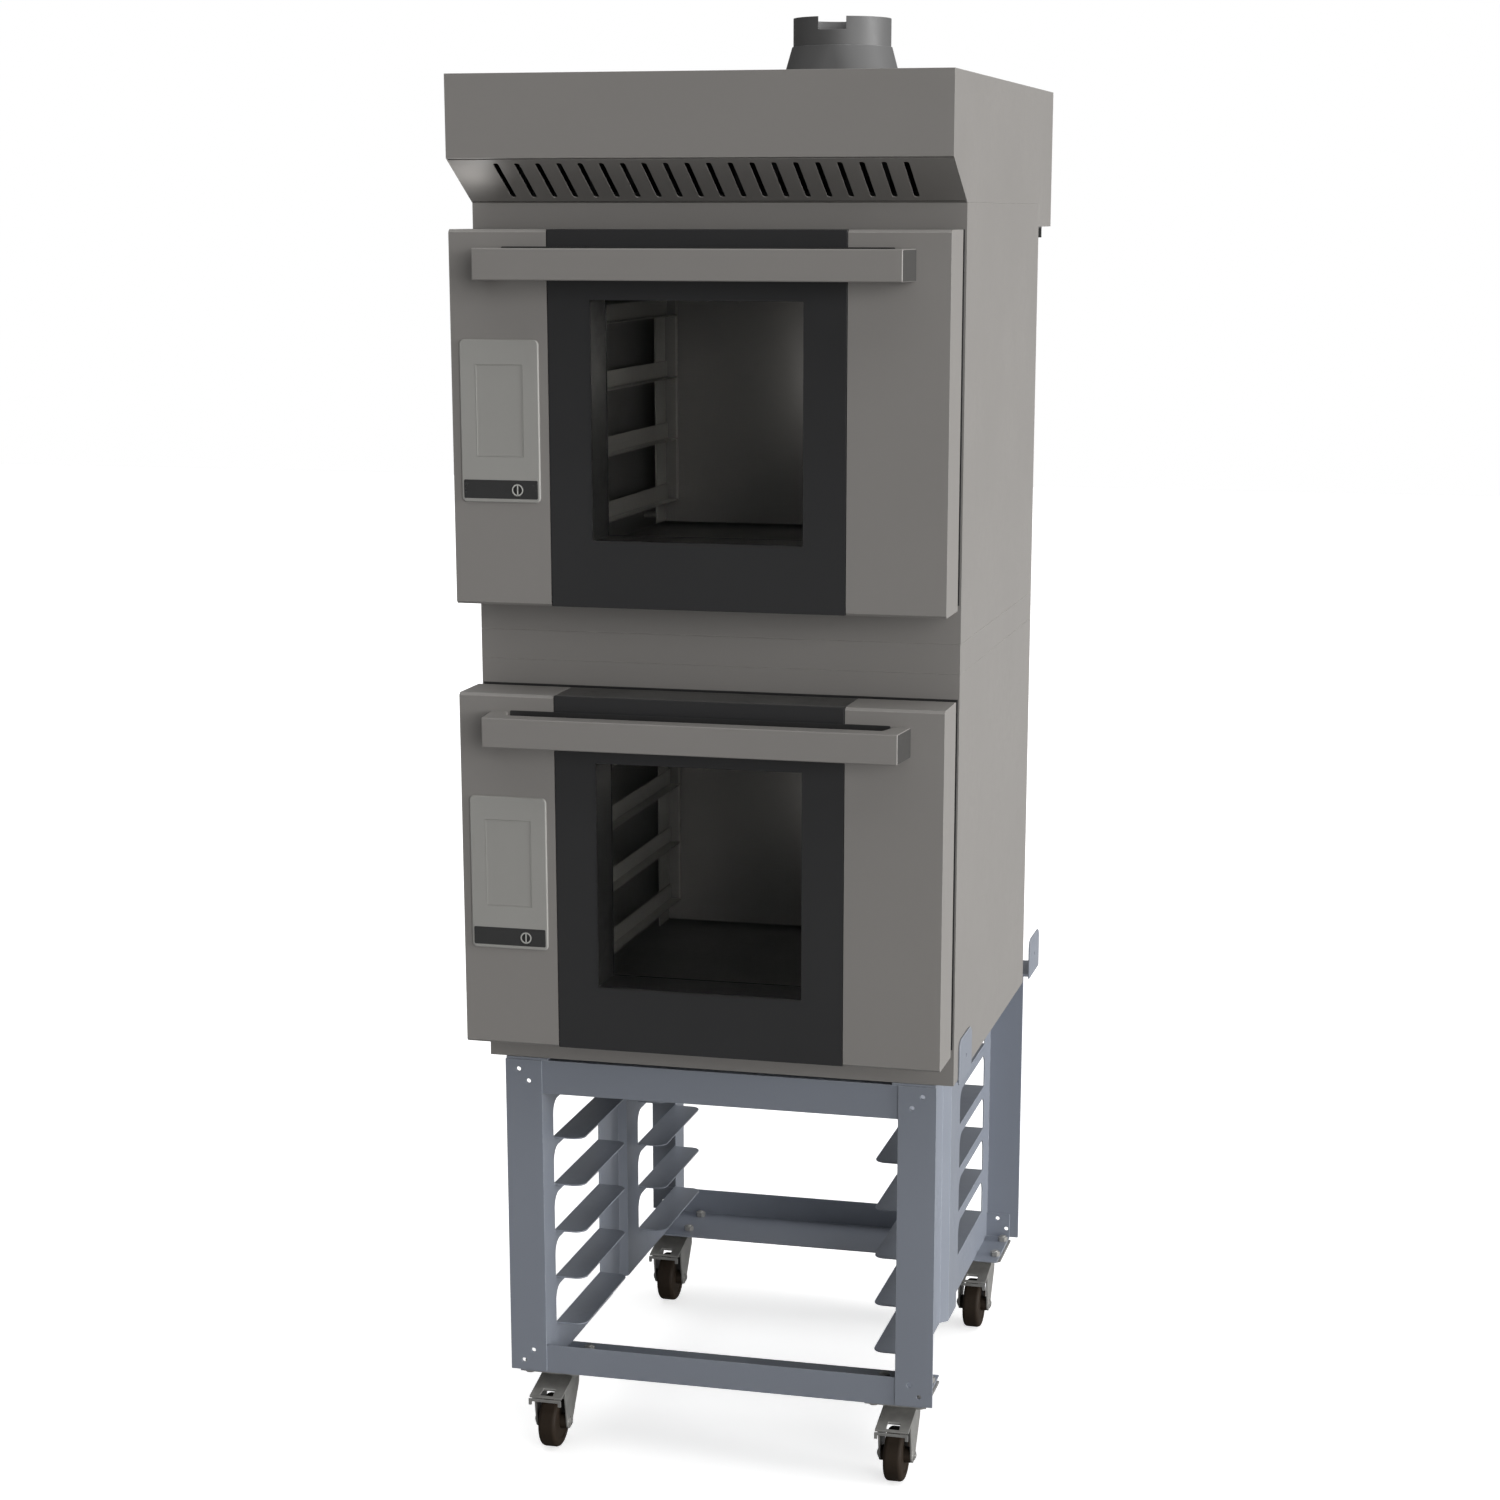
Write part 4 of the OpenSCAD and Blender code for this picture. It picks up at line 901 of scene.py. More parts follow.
ALONG_X: Colour = (0.02, 1.0, 1.0)
ALONG_Z: Colour = (1.0, 1.0, 0.02)
FINISHES: dict[Surface, Finish | GlassFinish] = {
    Surface.CASING: Finish((0.250, 0.2385, 0.2265), 0.48, grain=1500.0, depth=0.010 * MM, mottle=0.012,
                           marks=0.04, dust=0.05, edge=(0.33, 0.32, 0.30)),
    Surface.CHAMBER: Finish((0.20, 0.194, 0.185), 0.40, metallic=0.6, stretch=ALONG_X, mottle=0.04,
                            depth=0.004 * MM, marks=0.06, edge=(0.30, 0.29, 0.28)),
    Surface.WOOL: Finish((0.62, 0.56, 0.38), 0.95, grain=450.0, depth=1.2 * MM, mottle=0.15),
    Surface.PLASTIC: Finish((0.016, 0.016, 0.017), 0.5, grain=1400.0, mottle=0.10, edge=(0.06, 0.06, 0.06)),
    Surface.DARK_STEEL: Finish((0.12, 0.12, 0.12), 0.45, metallic=0.7, stretch=ALONG_X, mottle=0.08,
                               edge=(0.34, 0.34, 0.33)),
    Surface.FAN: Finish((0.45, 0.45, 0.44), 0.36, metallic=0.9, stretch=ALONG_Z, mottle=0.08),
    Surface.SEAL: Finish((0.014, 0.014, 0.014), 0.72, grain=700.0, depth=0.05 * MM, mottle=0.15,
                         edge=(0.03, 0.03, 0.03)),
    Surface.DOOR_PAN: Finish((0.030, 0.030, 0.030), 0.40, grain=1300.0, mottle=0.08,
                             edge=(0.10, 0.10, 0.10)),
    Surface.DARK_GLASS: Finish((0.034, 0.034, 0.035), 0.13, grain=900.0, depth=0.001 * MM, mottle=0.03,
                               marks=0.03, shine=0.22, edge=(0.05, 0.05, 0.05)),
    Surface.CLEAR_GLASS: GlassFinish((0.93, 0.94, 0.93)),
    Surface.CONTROL: Finish((0.34, 0.335, 0.317), 0.52, grain=1800.0, depth=0.015 * MM, mottle=0.03,
                            marks=0.06, edge=(0.50, 0.50, 0.47)),
    Surface.DISPLAY: Finish((0.335, 0.33, 0.312), 0.34, grain=2200.0, depth=0.006 * MM, mottle=0.02,
                            marks=0.03, edge=(0.30, 0.30, 0.28)),
    Surface.BUTTON: Finish((0.012, 0.012, 0.012), 0.38, grain=1500.0, mottle=0.05, edge=(0.05, 0.05, 0.05)),
    # The filter behind the hood's intake slots is near-black: painted shade, so the slots read as dark
    # voids.
    Surface.FILTER: Finish((0.030, 0.030, 0.030), 0.55, metallic=0.3, stretch=ALONG_Z, mottle=0.10),
    Surface.FLUE: Finish((0.105, 0.105, 0.105), 0.58, grain=1200.0, mottle=0.03, dust=0.05,
                         edge=(0.24, 0.24, 0.24)),
    Surface.STAND: Finish((0.235, 0.256, 0.299), 0.40, grain=1300.0, depth=0.012 * MM, mottle=0.02,
                          dust=0.04, edge=(0.36, 0.385, 0.43)),
    Surface.ZINC: Finish((0.33, 0.325, 0.31), 0.40, metallic=0.35, grain=260.0, depth=0.01 * MM,
                         mottle=0.14, mottle_density=60.0, marks=0.12, edge=(0.46, 0.455, 0.44)),
    Surface.TYRE: Finish((0.027, 0.019, 0.013), 0.66, grain=800.0, depth=0.03 * MM, mottle=0.12,
                         mottle_density=30.0, shine=0.15, edge=(0.055, 0.042, 0.032)),
    Surface.PEDAL: Finish((0.30, 0.298, 0.288), 0.40, metallic=0.45, grain=500.0, mottle=0.12,
                          mottle_density=50.0, edge=(0.55, 0.55, 0.53)),
}
WINDOW_GLASS = GlassFinish((0.82, 0.81, 0.80), shade=0.45)
MARK_FINISH = Finish((0.52, 0.52, 0.49), 0.45, grain=2000.0, depth=0.005 * MM, mottle=0.03)
RACK_FINISH = Finish((0.48, 0.47, 0.45), 0.45, metallic=0.5, stretch=ALONG_Z, mottle=0.04,
                     depth=0.004 * MM)
GUARD_FINISH = replace(RACK_FINISH, colour=(0.33, 0.32, 0.31), roughness=0.40)
# Near-black finish of the handle's end faces: painted shade.
END_SHADE_FINISH = Finish((0.052, 0.051, 0.049), 0.50, grain=1500.0, depth=0.01 * MM, mottle=0.02)
STRIP_FINISH = Finish((0.036, 0.036, 0.036), 0.30, grain=2000.0, depth=0.004 * MM, mottle=0.06)
FLOOR_FINISH = FloorFinish((0.80, 0.80, 0.80), (0.30, 0.30, 0.30))


class Palette:
    """Materials of the finishes, each built once."""

    def __init__(self) -> None:
        """Starts with no material built."""
        self.made: dict[str, Material] = {}

    def face(self, surface: Surface) -> Material:
        """Gives the material of a surface's faces."""
        return self.special(surface.value, FINISHES[surface])

    def edge(self, surface: Surface) -> Material:
        """Gives the material of a surface's rubbed edges, or of its faces where it has none.

        Args:
            surface: Surface of the record.
        Returns:
            The material.
        """
        finish = FINISHES[surface]
        name = surface.value + "_edge"
        if isinstance(finish, GlassFinish) or finish.edge is None:
            return self.face(surface)
        if name not in self.made:
            self.made[name] = finish.edge_material(name)
        return self.made[name]

    def special(self, name: str, finish: Finish | GlassFinish | FloorFinish) -> Material:
        """Gives the material of a finish by name.

        Args:
            name: Name of the material.
            finish: Finish to build it from.
        Returns:
            The material.
        """
        if name not in self.made:
            self.made[name] = finish.material(name)
        return self.made[name]


@dataclass(kw_only=True)
class Assembly:
    """Pieces that are built and dressed together."""

    palette: Palette
    edge_round: float = 0.5 * MM
    edge_angle: float = 40.0

    def keep(self, piece: Piece, body: str, surface: Surface, *nodes: str) -> Piece:
        """Sets a piece on its body and the CAD nodes that it stands for.

        Args:
            piece: Finished piece.
            body: CAD body that it moves with.
            surface: Not used.
            nodes: CAD nodes that it replaces.
        Returns:
            The piece.
        """
        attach(piece, body)
        if nodes:
            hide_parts(*nodes)
        LOG.info("%s rides on %s with %d faces", piece.name, body, len(piece.data.polygons))
        return piece

    def dress(self, piece: Piece, surface: Surface) -> Piece:
        """Gives a modelled piece its faces' material.

        Args:
            piece: Piece to dress.
            surface: Surface of the record.
        Returns:
            The piece.
        """
        piece.data.materials.clear()
        piece.data.materials.append(self.palette.face(surface))
        return piece

    def complete(self, piece: Piece, surface: Surface, body: str, *nodes: str,
                 angle: float = SMOOTH_ANGLE) -> Piece:
        """Settles and dresses a modelled piece, and sets it on its body.

        Args:
            piece: Modelled piece.
            surface: Surface of the record.
            body: CAD body that it moves with.
            nodes: CAD nodes that it replaces.
            angle: Steepest angle that stays smooth, in degrees.
        Returns:
            The piece.
        """
        return self.keep(self.dress(Bench.settle(piece, angle), surface), body, surface, *nodes)

    def soften(self, node: str, name: str, surface: Surface, radius: float | None = None,
               steps: int = 2) -> Piece:
        """Makes a piece from a CAD node, with its sharp edges rounded and rubbed.

        Args:
            node: CAD node to copy and replace.
            name: Name of the piece.
            surface: Surface of the record.
            radius: Radius of the edges in metres, or None for the usual one.
            steps: Segments of the rounding.
        Returns:
            The piece.
        """
        piece = Bench.merged(node, name)
        piece.data.materials.append(self.palette.face(surface))
        piece.data.materials.append(self.palette.edge(surface))
        bevel = piece.modifiers.new("edges", "BEVEL")
        bevel.width = self.edge_round if radius is None else radius
        bevel.segments = steps
        bevel.limit_method = "ANGLE"
        bevel.angle_limit = math.radians(self.edge_angle)
        bevel.use_clamp_overlap = False
        bevel.material = 1
        Bench.hold(piece)
        bpy.ops.object.modifier_apply(modifier=bevel.name)
        Bench.shade(piece)
        return self.keep(piece, frame["nodes"][node]["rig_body"], surface, node)


@dataclass(kw_only=True)
class OvenBodies(Assembly):
    """Casings, rear covers, racks, seals and hinges of both ovens."""

    cover_round: float = 0.4 * MM
    rack_round: float = 0.35 * MM
    seal_round: float = 4.0 * MM
    lug_round: float = 0.8 * MM
    gland_round: float = 1.2 * MM
    liner_inset: float = 2.2 * MM
    liner_lap: float = 8.0 * MM
    liner_thick: float = 1.0 * MM
    liner_round: float = 0.3 * MM
    screw_radius: float = 4.2 * MM
    screw_height: float = 2.0 * MM
    screw_round: float = 0.9 * MM
    screw_rim: float = 1.0 * MM
    screw_lip: float = 0.15 * MM
    screw_recess: float = 0.7 * MM
    screw_side: float = 12.0 * MM
    screw_end: float = 16.0 * MM
    nut_radius: float = 16.5 * MM
    nut_bore: float = 13.2 * MM
    nut_wall: float = 1.5 * MM
    nut_depth: float = 7.0 * MM
    nut_round: float = 0.8 * MM

    def build(self) -> None:
        """Builds the fixed pieces of the two ovens."""
        for deck in Deck:
            self.soften(f"{deck.value}_casing", f"{deck.value}_casing_sheet", Surface.CASING)
            self.build_liner(deck)
        self.soften("stacking_spacer", "spacer_band", Surface.CASING)
        self.soften("rear_covers", "rear_cover_sheets", Surface.CASING, self.cover_round)
        racks = self.soften("tray_racks", "tray_rack_runners", Surface.CHAMBER, self.rack_round)
        racks.data.materials[0] = self.palette.special("rack_steel", RACK_FINISH)
        guards = self.soften("fan_baffles", "fan_guard_plates", Surface.DARK_STEEL, self.rack_round)
        guards.data.materials[0] = self.palette.special("guard_steel", GUARD_FINISH)
        self.soften("door_seals", "door_gaskets", Surface.SEAL, self.seal_round, steps=4)
        self.soften("door_hinges", "hinge_lugs", Surface.DARK_STEEL, self.lug_round)
        self.soften("cable_glands", "gland_bodies", Surface.PLASTIC, self.gland_round, steps=3)
        self.build_screws()
        self.build_gland_nuts()

    def build_liner(self, deck: Deck) -> None:
        """Models the black liner on a casing's front, from its rim to under the door's seal.

        Args:
            deck: Oven that it belongs to.
        """
        low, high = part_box(f"{deck.value}_casing")
        panel_low, panel_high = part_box(f"{deck.value}_door_right_panel")
        seal_low, seal_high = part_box("door_seals")
        half = high.x - self.liner_inset
        front = low.y - self.liner_thick
        base, top = panel_low.z + 2 * self.liner_inset, min(panel_high.z, high.z - self.liner_inset)
        reach = seal_high.x - self.liner_lap
        sill = low.z + seal_low.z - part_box("lower_casing")[0].z + self.liner_lap
        head = high.z + seal_high.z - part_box("upper_casing")[1].z - self.liner_lap
        liner = Bench.block(f"{deck.value}_front_liner", (-half, front, base), (half, low.y + SINK, top))
        Bench.round_edges(liner, lambda at, way: at.y < front + NEAR, self.liner_round, steps=2)
        Bench.slice(liner, Axis.X, -reach, reach)
        Bench.slice(liner, Axis.Z, sill, head)
        Bench.pierce(liner, lambda at, way: abs(way.y) > FLAT and abs(at.x) < reach and sill < at.z < head)
        self.complete(liner, Surface.DOOR_PAN, "cabinet")

    def build_screws(self) -> None:
        """Models one pan-head screw and copies it round both rear covers."""
        low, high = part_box("rear_covers")
        middle = high.y + self.screw_height / 2 - SINK
        first = Bench.drum("rear_cover_screws", (0.0, middle, 0.0), self.screw_radius, self.screw_height,
                           Axis.Y, SMALL_SIDES)
        Bench.round_edges(first, lambda at, way: at.y > middle and abs(way.y) < ACROSS, self.screw_round)
        Bench.inset(first, along(Axis.Y, 1), self.screw_rim)
        Bench.inset(first, along(Axis.Y, 1), self.screw_lip, -self.screw_recess)
        self.dress(Bench.settle(first), Surface.ZINC)
        spots = []
        for deck in Deck:
            base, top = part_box(f"{deck.value}_casing")
            levels = (base.z + self.screw_end, (base.z + top.z) / 2, top.z - self.screw_end)
            sides = (low.x + self.screw_side, high.x - self.screw_side)
            spots += [(x, 0.0, z) for x in sides for z in levels]
            spots += [(0.0, 0.0, levels[0]), (0.0, 0.0, levels[2])]
        self.keep(Bench.spread(first, spots, "rear_cover_screws"), "cabinet", Surface.ZINC)

    def build_gland_nuts(self) -> None:
        """Models the six-sided collar of a cable gland and copies it to both ovens."""
        low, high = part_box("cable_glands")
        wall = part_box("rear_covers")[1].y
        centre = Vector(((low.x + high.x) / 2, wall + self.nut_depth / 2, low.z + (high.x - low.x) / 2))
        rim = self.nut_bore + self.nut_wall
        nut = Bench.drum("gland_nuts", centre, self.nut_radius, self.nut_depth, Axis.Y, HEX_SIDES)
        Bench.carve(nut, Bench.drum("gland_bore", centre, self.nut_bore, 2 * self.nut_depth, Axis.Y))
        Bench.round_edges(nut, lambda at, way: abs(way.y) > ALONG and (at - centre).length > rim,
                          self.nut_round)
        self.dress(Bench.settle(nut), Surface.PLASTIC)
        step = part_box("upper_casing")[1].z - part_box("lower_casing")[1].z
        both = Bench.gather([nut, Bench.twin(nut, "gland_nut_twin", (0.0, 0.0, step))], "gland_nuts")
        self.keep(both, "cabinet", Surface.PLASTIC)


@dataclass(kw_only=True)
class OvenDoor(Assembly):
    """A drop-down door with its glass, grip, control panel and power button."""

    deck: Deck
    pan_round: float = 0.4 * MM
    bar_depth: float = 25.0 * MM
    bar_end: float = 21.0 * MM
    bar_splay: float = 5.0 * MM
    bar_round: float = 1.6 * MM
    end_shade_tilt: float = 0.8
    # Black sheet behind the handle: painted shade of the gap between bar and door.
    grip_shade_gap: float = 3.0 * MM
    grip_shade_rise: float = 1.5 * MM
    grip_shade_thick: float = 0.4 * MM
    grip_shade_corner: float = 2.0 * MM
    grip_shade_round: float = 0.15 * MM
    glass_lap: float = 16.0 * MM
    glass_round: float = 0.8 * MM
    panel_proud: float = 2.5 * MM
    panel_corner: float = 6.0 * MM
    panel_round: float = 1.7 * MM
    plug_inset: float = 4.0 * MM
    display_slack: float = 0.3 * MM
    display_ahead: float = 5.0 * MM
    display_lip: float = 0.8 * MM
    display_step: float = 0.2 * MM
    display_groove: float = 0.45 * MM
    display_angle: float = 20.0
    button_gap: float = 0.35 * MM
    button_cut: float = 2.4
    button_round: float = 0.35 * MM
    button_rim: float = 0.6 * MM
    button_angle: float = 50.0
    dish_step: float = 0.5 * MM
    dish_depth: float = 0.1 * MM
    strip_side: float = 3.0 * MM
    strip_base: float = 4.4 * MM
    strip_height: float = 22.0 * MM
    strip_thick: float = 0.3 * MM
    strip_corner: float = 1.6 * MM
    strip_round: float = 0.12 * MM
    strip_cut: float = 20.0 * MM
    mark_width: float = 1.5 * MM
    mark_thick: float = 0.12 * MM
    mark_margin: float = 0.5 * MM
    mark_sink: float = 0.02 * MM
    mark_root: float = 0.12 * MM
    mark_round: float = 0.04 * MM

    def node(self, part: str) -> str:
        """Gives the CAD node's name of one of the door's parts."""
        return f"{self.deck.value}_{part}"

    @property
    def door(self) -> str:
        """Name of the door's body."""
        return self.node("door")

    def build(self) -> None:
        """Builds the door's pieces."""
        self.soften(self.node("door_left_panel"), self.node("door_left_skin"), Surface.CASING)
        self.soften(self.node("door_right_panel"), self.node("door_right_skin"), Surface.CASING)
        self.soften(self.node("door_frame"), self.node("door_pan"), Surface.DOOR_PAN, self.pan_round)
        self.build_glass()
        self.build_grip()
        self.build_grip_shade()
        self.build_control()
        self.build_display()
        self.build_strip()
        self.build_button()
        self.build_mark()

    def build_glass(self) -> None:
        """Models the centre glass, clear in the window and printed dark round it."""
        low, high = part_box(self.node("door_glass"))
        inner_low, inner_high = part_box(self.node("door_inner_glass"))
        left, right = inner_low.x + self.glass_lap, inner_high.x - self.glass_lap
        base, top = inner_low.z + self.glass_lap, inner_high.z - self.glass_lap
        glass = Bench.block(self.node("door_pane"), low, high)
        Bench.slice(glass, Axis.X, left, right)
        Bench.slice(glass, Axis.Z, base, top)

        def on_rim(at: Vector, way: Vector) -> bool:
            """Tells the front edges of the rim from the rest."""
            side = at.x < low.x + NEAR or at.x > high.x - NEAR
            end = at.z < low.z + NEAR or at.z > high.z - NEAR
            return at.y < low.y + NEAR and (side or end)

        Bench.round_edges(glass, on_rim, self.glass_round)
        self.dress(Bench.settle(glass), Surface.DARK_GLASS)
        glass.data.materials.append(self.palette.special("window_glass", WINDOW_GLASS))
        for face in glass.data.polygons:
            if abs(face.normal.y) > ALONG and left < face.center.x < right and base < face.center.z < top:
                face.material_index = 1
        self.keep(glass, self.door, Surface.DARK_GLASS, self.node("door_glass"))

    def build_grip(self) -> None:
        """Models the handle: a bar with two splayed ends that reach back to the door."""
        low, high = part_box(self.node("door_handle"))
        half = high.x - self.bar_splay
        back = low.y + self.bar_depth
        gap = half - self.bar_end - self.bar_splay / 2
        bar = Bench.block(self.node("grip_bar"), (-half, low.y, low.z), (half, back, high.z))
        Bench.slice(bar, Axis.X, -gap, gap)
        Bench.draw_out(bar, lambda at, way: way.y > ALONG and abs(at.x) > gap, (0.0, high.y - back, 0.0))
        rise = self.bar_splay * self.bar_depth / (high.y - low.y)
        inner = high.x - self.bar_end - gap
        for side in (-1, 1):
            for depth, move in ((back, rise), (high.y, self.bar_splay)):
                Bench.shift(bar, lambda at, way: side * at.x > half - NEAR and abs(at.y - depth) < NEAR,
                            (side * move, 0.0, 0.0))
            Bench.shift(bar, lambda at, way: 0 < side * at.x < gap + NEAR and at.y > high.y - NEAR,
                        (side * inner, 0.0, 0.0))

        def on_outside(at: Vector, way: Vector) -> bool:
            """Leaves out the edges on the door and the seams within the bar's flat faces."""
            end_seam = abs(way.z) > ALONG and abs(at.y - back) < NEAR and abs(at.x) > half
            level_seam = abs(way.x) < SQUARE and abs(way.z) < SQUARE and abs(abs(at.x) - gap) < NEAR
            return at.y < high.y - NEAR and not end_seam and not (level_seam and at.y < back)

        Bench.round_edges(bar, on_outside, self.bar_round)
        self.dress(Bench.settle(bar), Surface.CASING)
        # The bar's end faces get a near-black finish: painted shade where the key light misses the ends.
        bar.data.materials.append(self.palette.special("bar_end_shade", END_SHADE_FINISH))
        for face in bar.data.polygons:
            if abs(face.center.x) > half - NEAR and abs(face.normal.x) > self.end_shade_tilt:
                face.material_index = 1
        self.keep(bar, self.door, Surface.CASING, self.node("door_handle"))

    def build_grip_shade(self) -> None:
        """Models a black sheet on the door behind the handle, between its two ends: painted shade of the
        gap behind the bar.
        """
        low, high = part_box(self.node("door_handle"))
        half = high.x - self.bar_end - self.grip_shade_gap
        front = high.y - self.grip_shade_thick
        film = Bench.block(self.node("grip_backing"), (-half, front, low.z + self.grip_shade_gap),
                           (half, high.y + SINK, high.z + self.grip_shade_rise))
        Bench.round_edges(film, along(Axis.Y), self.grip_shade_corner, steps=4)
        Bench.round_edges(film, lambda at, way: at.y < front + NEAR, self.grip_shade_round, steps=2)
        self.complete(film, Surface.DOOR_PAN, self.door)

    def button_room(self, length: float) -> Piece:
        """Makes the cutter for the button's hole.

        Args:
            length: Length of the cutter in metres.
        Returns:
            The cutter.
        """
        low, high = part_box(self.node("power_button"))
        radius = (high.x - low.x) / 2 + self.button_gap
        return Bench.drum("button_room", (low + high) / 2, radius, length, Axis.Y)

    def build_control(self) -> None:
        """Models the control plate: round corners, a soft rim, a display recess and a button hole."""
        low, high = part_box(self.node("control_panel"))
        middle = (low.x + high.x) / 2
        back = low.y + self.panel_proud
        plate = Bench.block(self.node("control_plate"), low, (high.x, back, high.z))
        Bench.round_edges(plate, along(Axis.Y), self.panel_corner, steps=8)
        Bench.round_edges(plate, lambda at, way: at.y < low.y + NEAR, self.panel_round, steps=4)
        Bench.inset(plate, along(Axis.Y, 1), self.plug_inset)
        Bench.draw_out(plate, lambda at, way: way.y > ALONG and abs(at.x - middle) < MIDDLE,
                       (0.0, high.y - back, 0.0))
        show_low, show_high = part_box(self.node("control_display"))
        slack = Vector((self.display_slack, 0.0, self.display_slack))
        ahead = Vector((0.0, self.display_ahead, 0.0))
        Bench.carve(plate, Bench.block("display_room", show_low - slack - ahead, show_high + slack))
        key_low, key_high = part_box(self.node("power_button"))
        Bench.carve(plate, self.button_room(self.button_cut * (key_high.y - key_low.y)))
        self.complete(plate, Surface.CONTROL, self.door, self.node("control_panel"))

    def build_display(self) -> None:
        """Models the touch display as a pane sunk behind a fine lip."""
        low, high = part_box(self.node("control_display"))
        pane = Bench.block(self.node("touch_pane"), low, high)
        Bench.inset(pane, along(Axis.Y, -1), self.display_lip)
        Bench.inset(pane, central((low + high) / 2, Axis.Y, -1), self.display_step, -self.display_groove)
        self.complete(pane, Surface.DISPLAY, self.door, self.node("control_display"),
                      angle=self.display_angle)

    def build_strip(self) -> None:
        """Models the dark film strip below the display, with a hole for the button."""
        low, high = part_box(self.node("control_panel"))
        base = low.z + self.strip_base
        front = low.y - self.strip_thick
        strip = Bench.block(self.node("button_strip"), (low.x + self.strip_side, front, base),
                            (high.x - self.strip_side, low.y + SINK, base + self.strip_height))
        Bench.round_edges(strip, along(Axis.Y), self.strip_corner, steps=4)
        Bench.round_edges(strip, lambda at, way: at.y < front + NEAR, self.strip_round, steps=2)
        Bench.carve(strip, self.button_room(self.strip_cut))
        strip.data.materials.append(self.palette.special("strip_film", STRIP_FINISH))
        self.keep(Bench.settle(strip), self.door, Surface.BUTTON)

    def build_button(self) -> None:
        """Models the power button's cap, with a round edge and a shallow dish."""
        low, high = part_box(self.node("power_button"))
        middle = (low + high) / 2
        cap = Bench.drum(self.node("button_cap"), middle, (high.x - low.x) / 2, high.y - low.y, Axis.Y)
        Bench.round_edges(cap, lambda at, way: at.y < low.y + NEAR, self.button_round)
        Bench.inset(cap, along(Axis.Y, -1), self.mark_width + self.button_rim)
        Bench.inset(cap, central(middle, Axis.Y, -1), self.dish_step, -self.dish_depth)
        self.complete(cap, Surface.BUTTON, self.node("button"), self.node("power_button"),
                      angle=self.button_angle)

    def build_mark(self) -> None:
        """Models the plain on-off sign: a ring with an upright bar."""
        low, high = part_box(self.node("power_button"))
        middle = (low + high) / 2
        radius = (high.x - low.x) / 2 - self.mark_margin
        face = low.y - self.mark_thick / 2 + self.mark_sink
        centre = (middle.x, face, middle.z)
        ring = Bench.drum(self.node("power_mark"), centre, radius, self.mark_thick, Axis.Y)
        Bench.inset(ring, along(Axis.Y), self.mark_width)
        Bench.pierce(ring, central(middle, Axis.Y))
        half = self.mark_width / 2
        reach = radius - half
        front, back = face - self.mark_thick / 2, face + self.mark_thick / 2 + self.mark_root
        bar = Bench.block("mark_bar", (middle.x - half, front, middle.z - reach),
                          (middle.x + half, back, middle.z + reach))
        Bench.round_edges(bar, lambda at, way: at.y < face, self.mark_round, steps=1)
        mark = Bench.gather([ring, bar], self.node("power_mark"))
        mark.data.materials.clear()
        mark.data.materials.append(self.palette.special("sign_print", MARK_FINISH))
        self.keep(Bench.settle(mark), self.node("button"), Surface.BUTTON)


@dataclass(kw_only=True)
class ExtractionHood(Assembly):
    """Hood with its slotted intake, flue collar and rear bracket."""

    sheet_round: float = 0.3 * MM
    flange_thick: float = 1.0 * MM
    rivet_radius: float = 3.0 * MM
    rivet_height: float = 1.8 * MM
    rivet_inset: float = 5.0 * MM
    rivet_sink: float = 0.1 * MM
    rivet_dome: float = 1.3 * MM
    rivet_crown: float = 0.7 * MM
    rivet_rise: float = 0.12 * MM

    def build(self) -> None:
        """Builds the hood's pieces."""
        self.soften("hood_casing", "hood_shell", Surface.CASING)
        self.soften("hood_intake_panel", "intake_grille", Surface.CASING, self.sheet_round)
        self.soften("flue_collar", "flue_spigot_sheet", Surface.FLUE, self.sheet_round)
        self.soften("hood_rear_bracket", "rear_bracket_channel", Surface.DARK_STEEL)
        self.build_rivets()

    def build_rivets(self) -> None:
        """Models one domed rivet and copies it round the flue's flange."""
        low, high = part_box("flue_collar")
        waist = low.z + self.flange_thick + self.rivet_height / 2
        first = Bench.drum("flue_rivets", (0.0, 0.0, waist - self.rivet_sink), self.rivet_radius,
                           self.rivet_height, Axis.Z, SMALL_SIDES)
        Bench.round_edges(first, lambda at, way: at.z > waist and abs(way.z) < ACROSS, self.rivet_dome,
                          steps=4)
        Bench.inset(first, along(Axis.Z, 1), self.rivet_crown, self.rivet_rise)
        self.dress(Bench.settle(first), Surface.ZINC)
        columns = (low.x + self.rivet_inset, high.x - self.rivet_inset)
        rows = (low.y + self.rivet_inset, high.y - self.rivet_inset)
        spots = [(x, y, 0.0) for y in rows for x in columns]
        spots += [(sum(columns) / 2, y, 0.0) for y in rows] + [(x, sum(rows) / 2, 0.0) for x in columns]
        self.keep(Bench.spread(first, spots, "flue_rivets"), "cabinet", Surface.ZINC)


@dataclass(kw_only=True)
class TrayStand(Assembly):
    """Open stand with pressed tray runners."""

    frame_round: float = 0.6 * MM
    bolt_round: float = 0.45 * MM
    painted: tuple[tuple[str, str], ...] = (
        ("stand_left_side", "stand_left_frame"),
        ("stand_right_side", "stand_right_frame"),
        ("stand_top_rails", "stand_top_bars"),
        ("stand_bottom_rails", "stand_bottom_bars"),
        ("stand_rest_rails", "stand_rest_bars"),
    )

    def build(self) -> None:
        """Builds the stand's pieces."""
        for node, name in self.painted:
            self.soften(node, name, Surface.STAND, self.frame_round)
        self.soften("stand_bolts", "stand_fasteners", Surface.ZINC, self.bolt_round)
        self.soften("caster_plates", "caster_top_plates", Surface.ZINC)


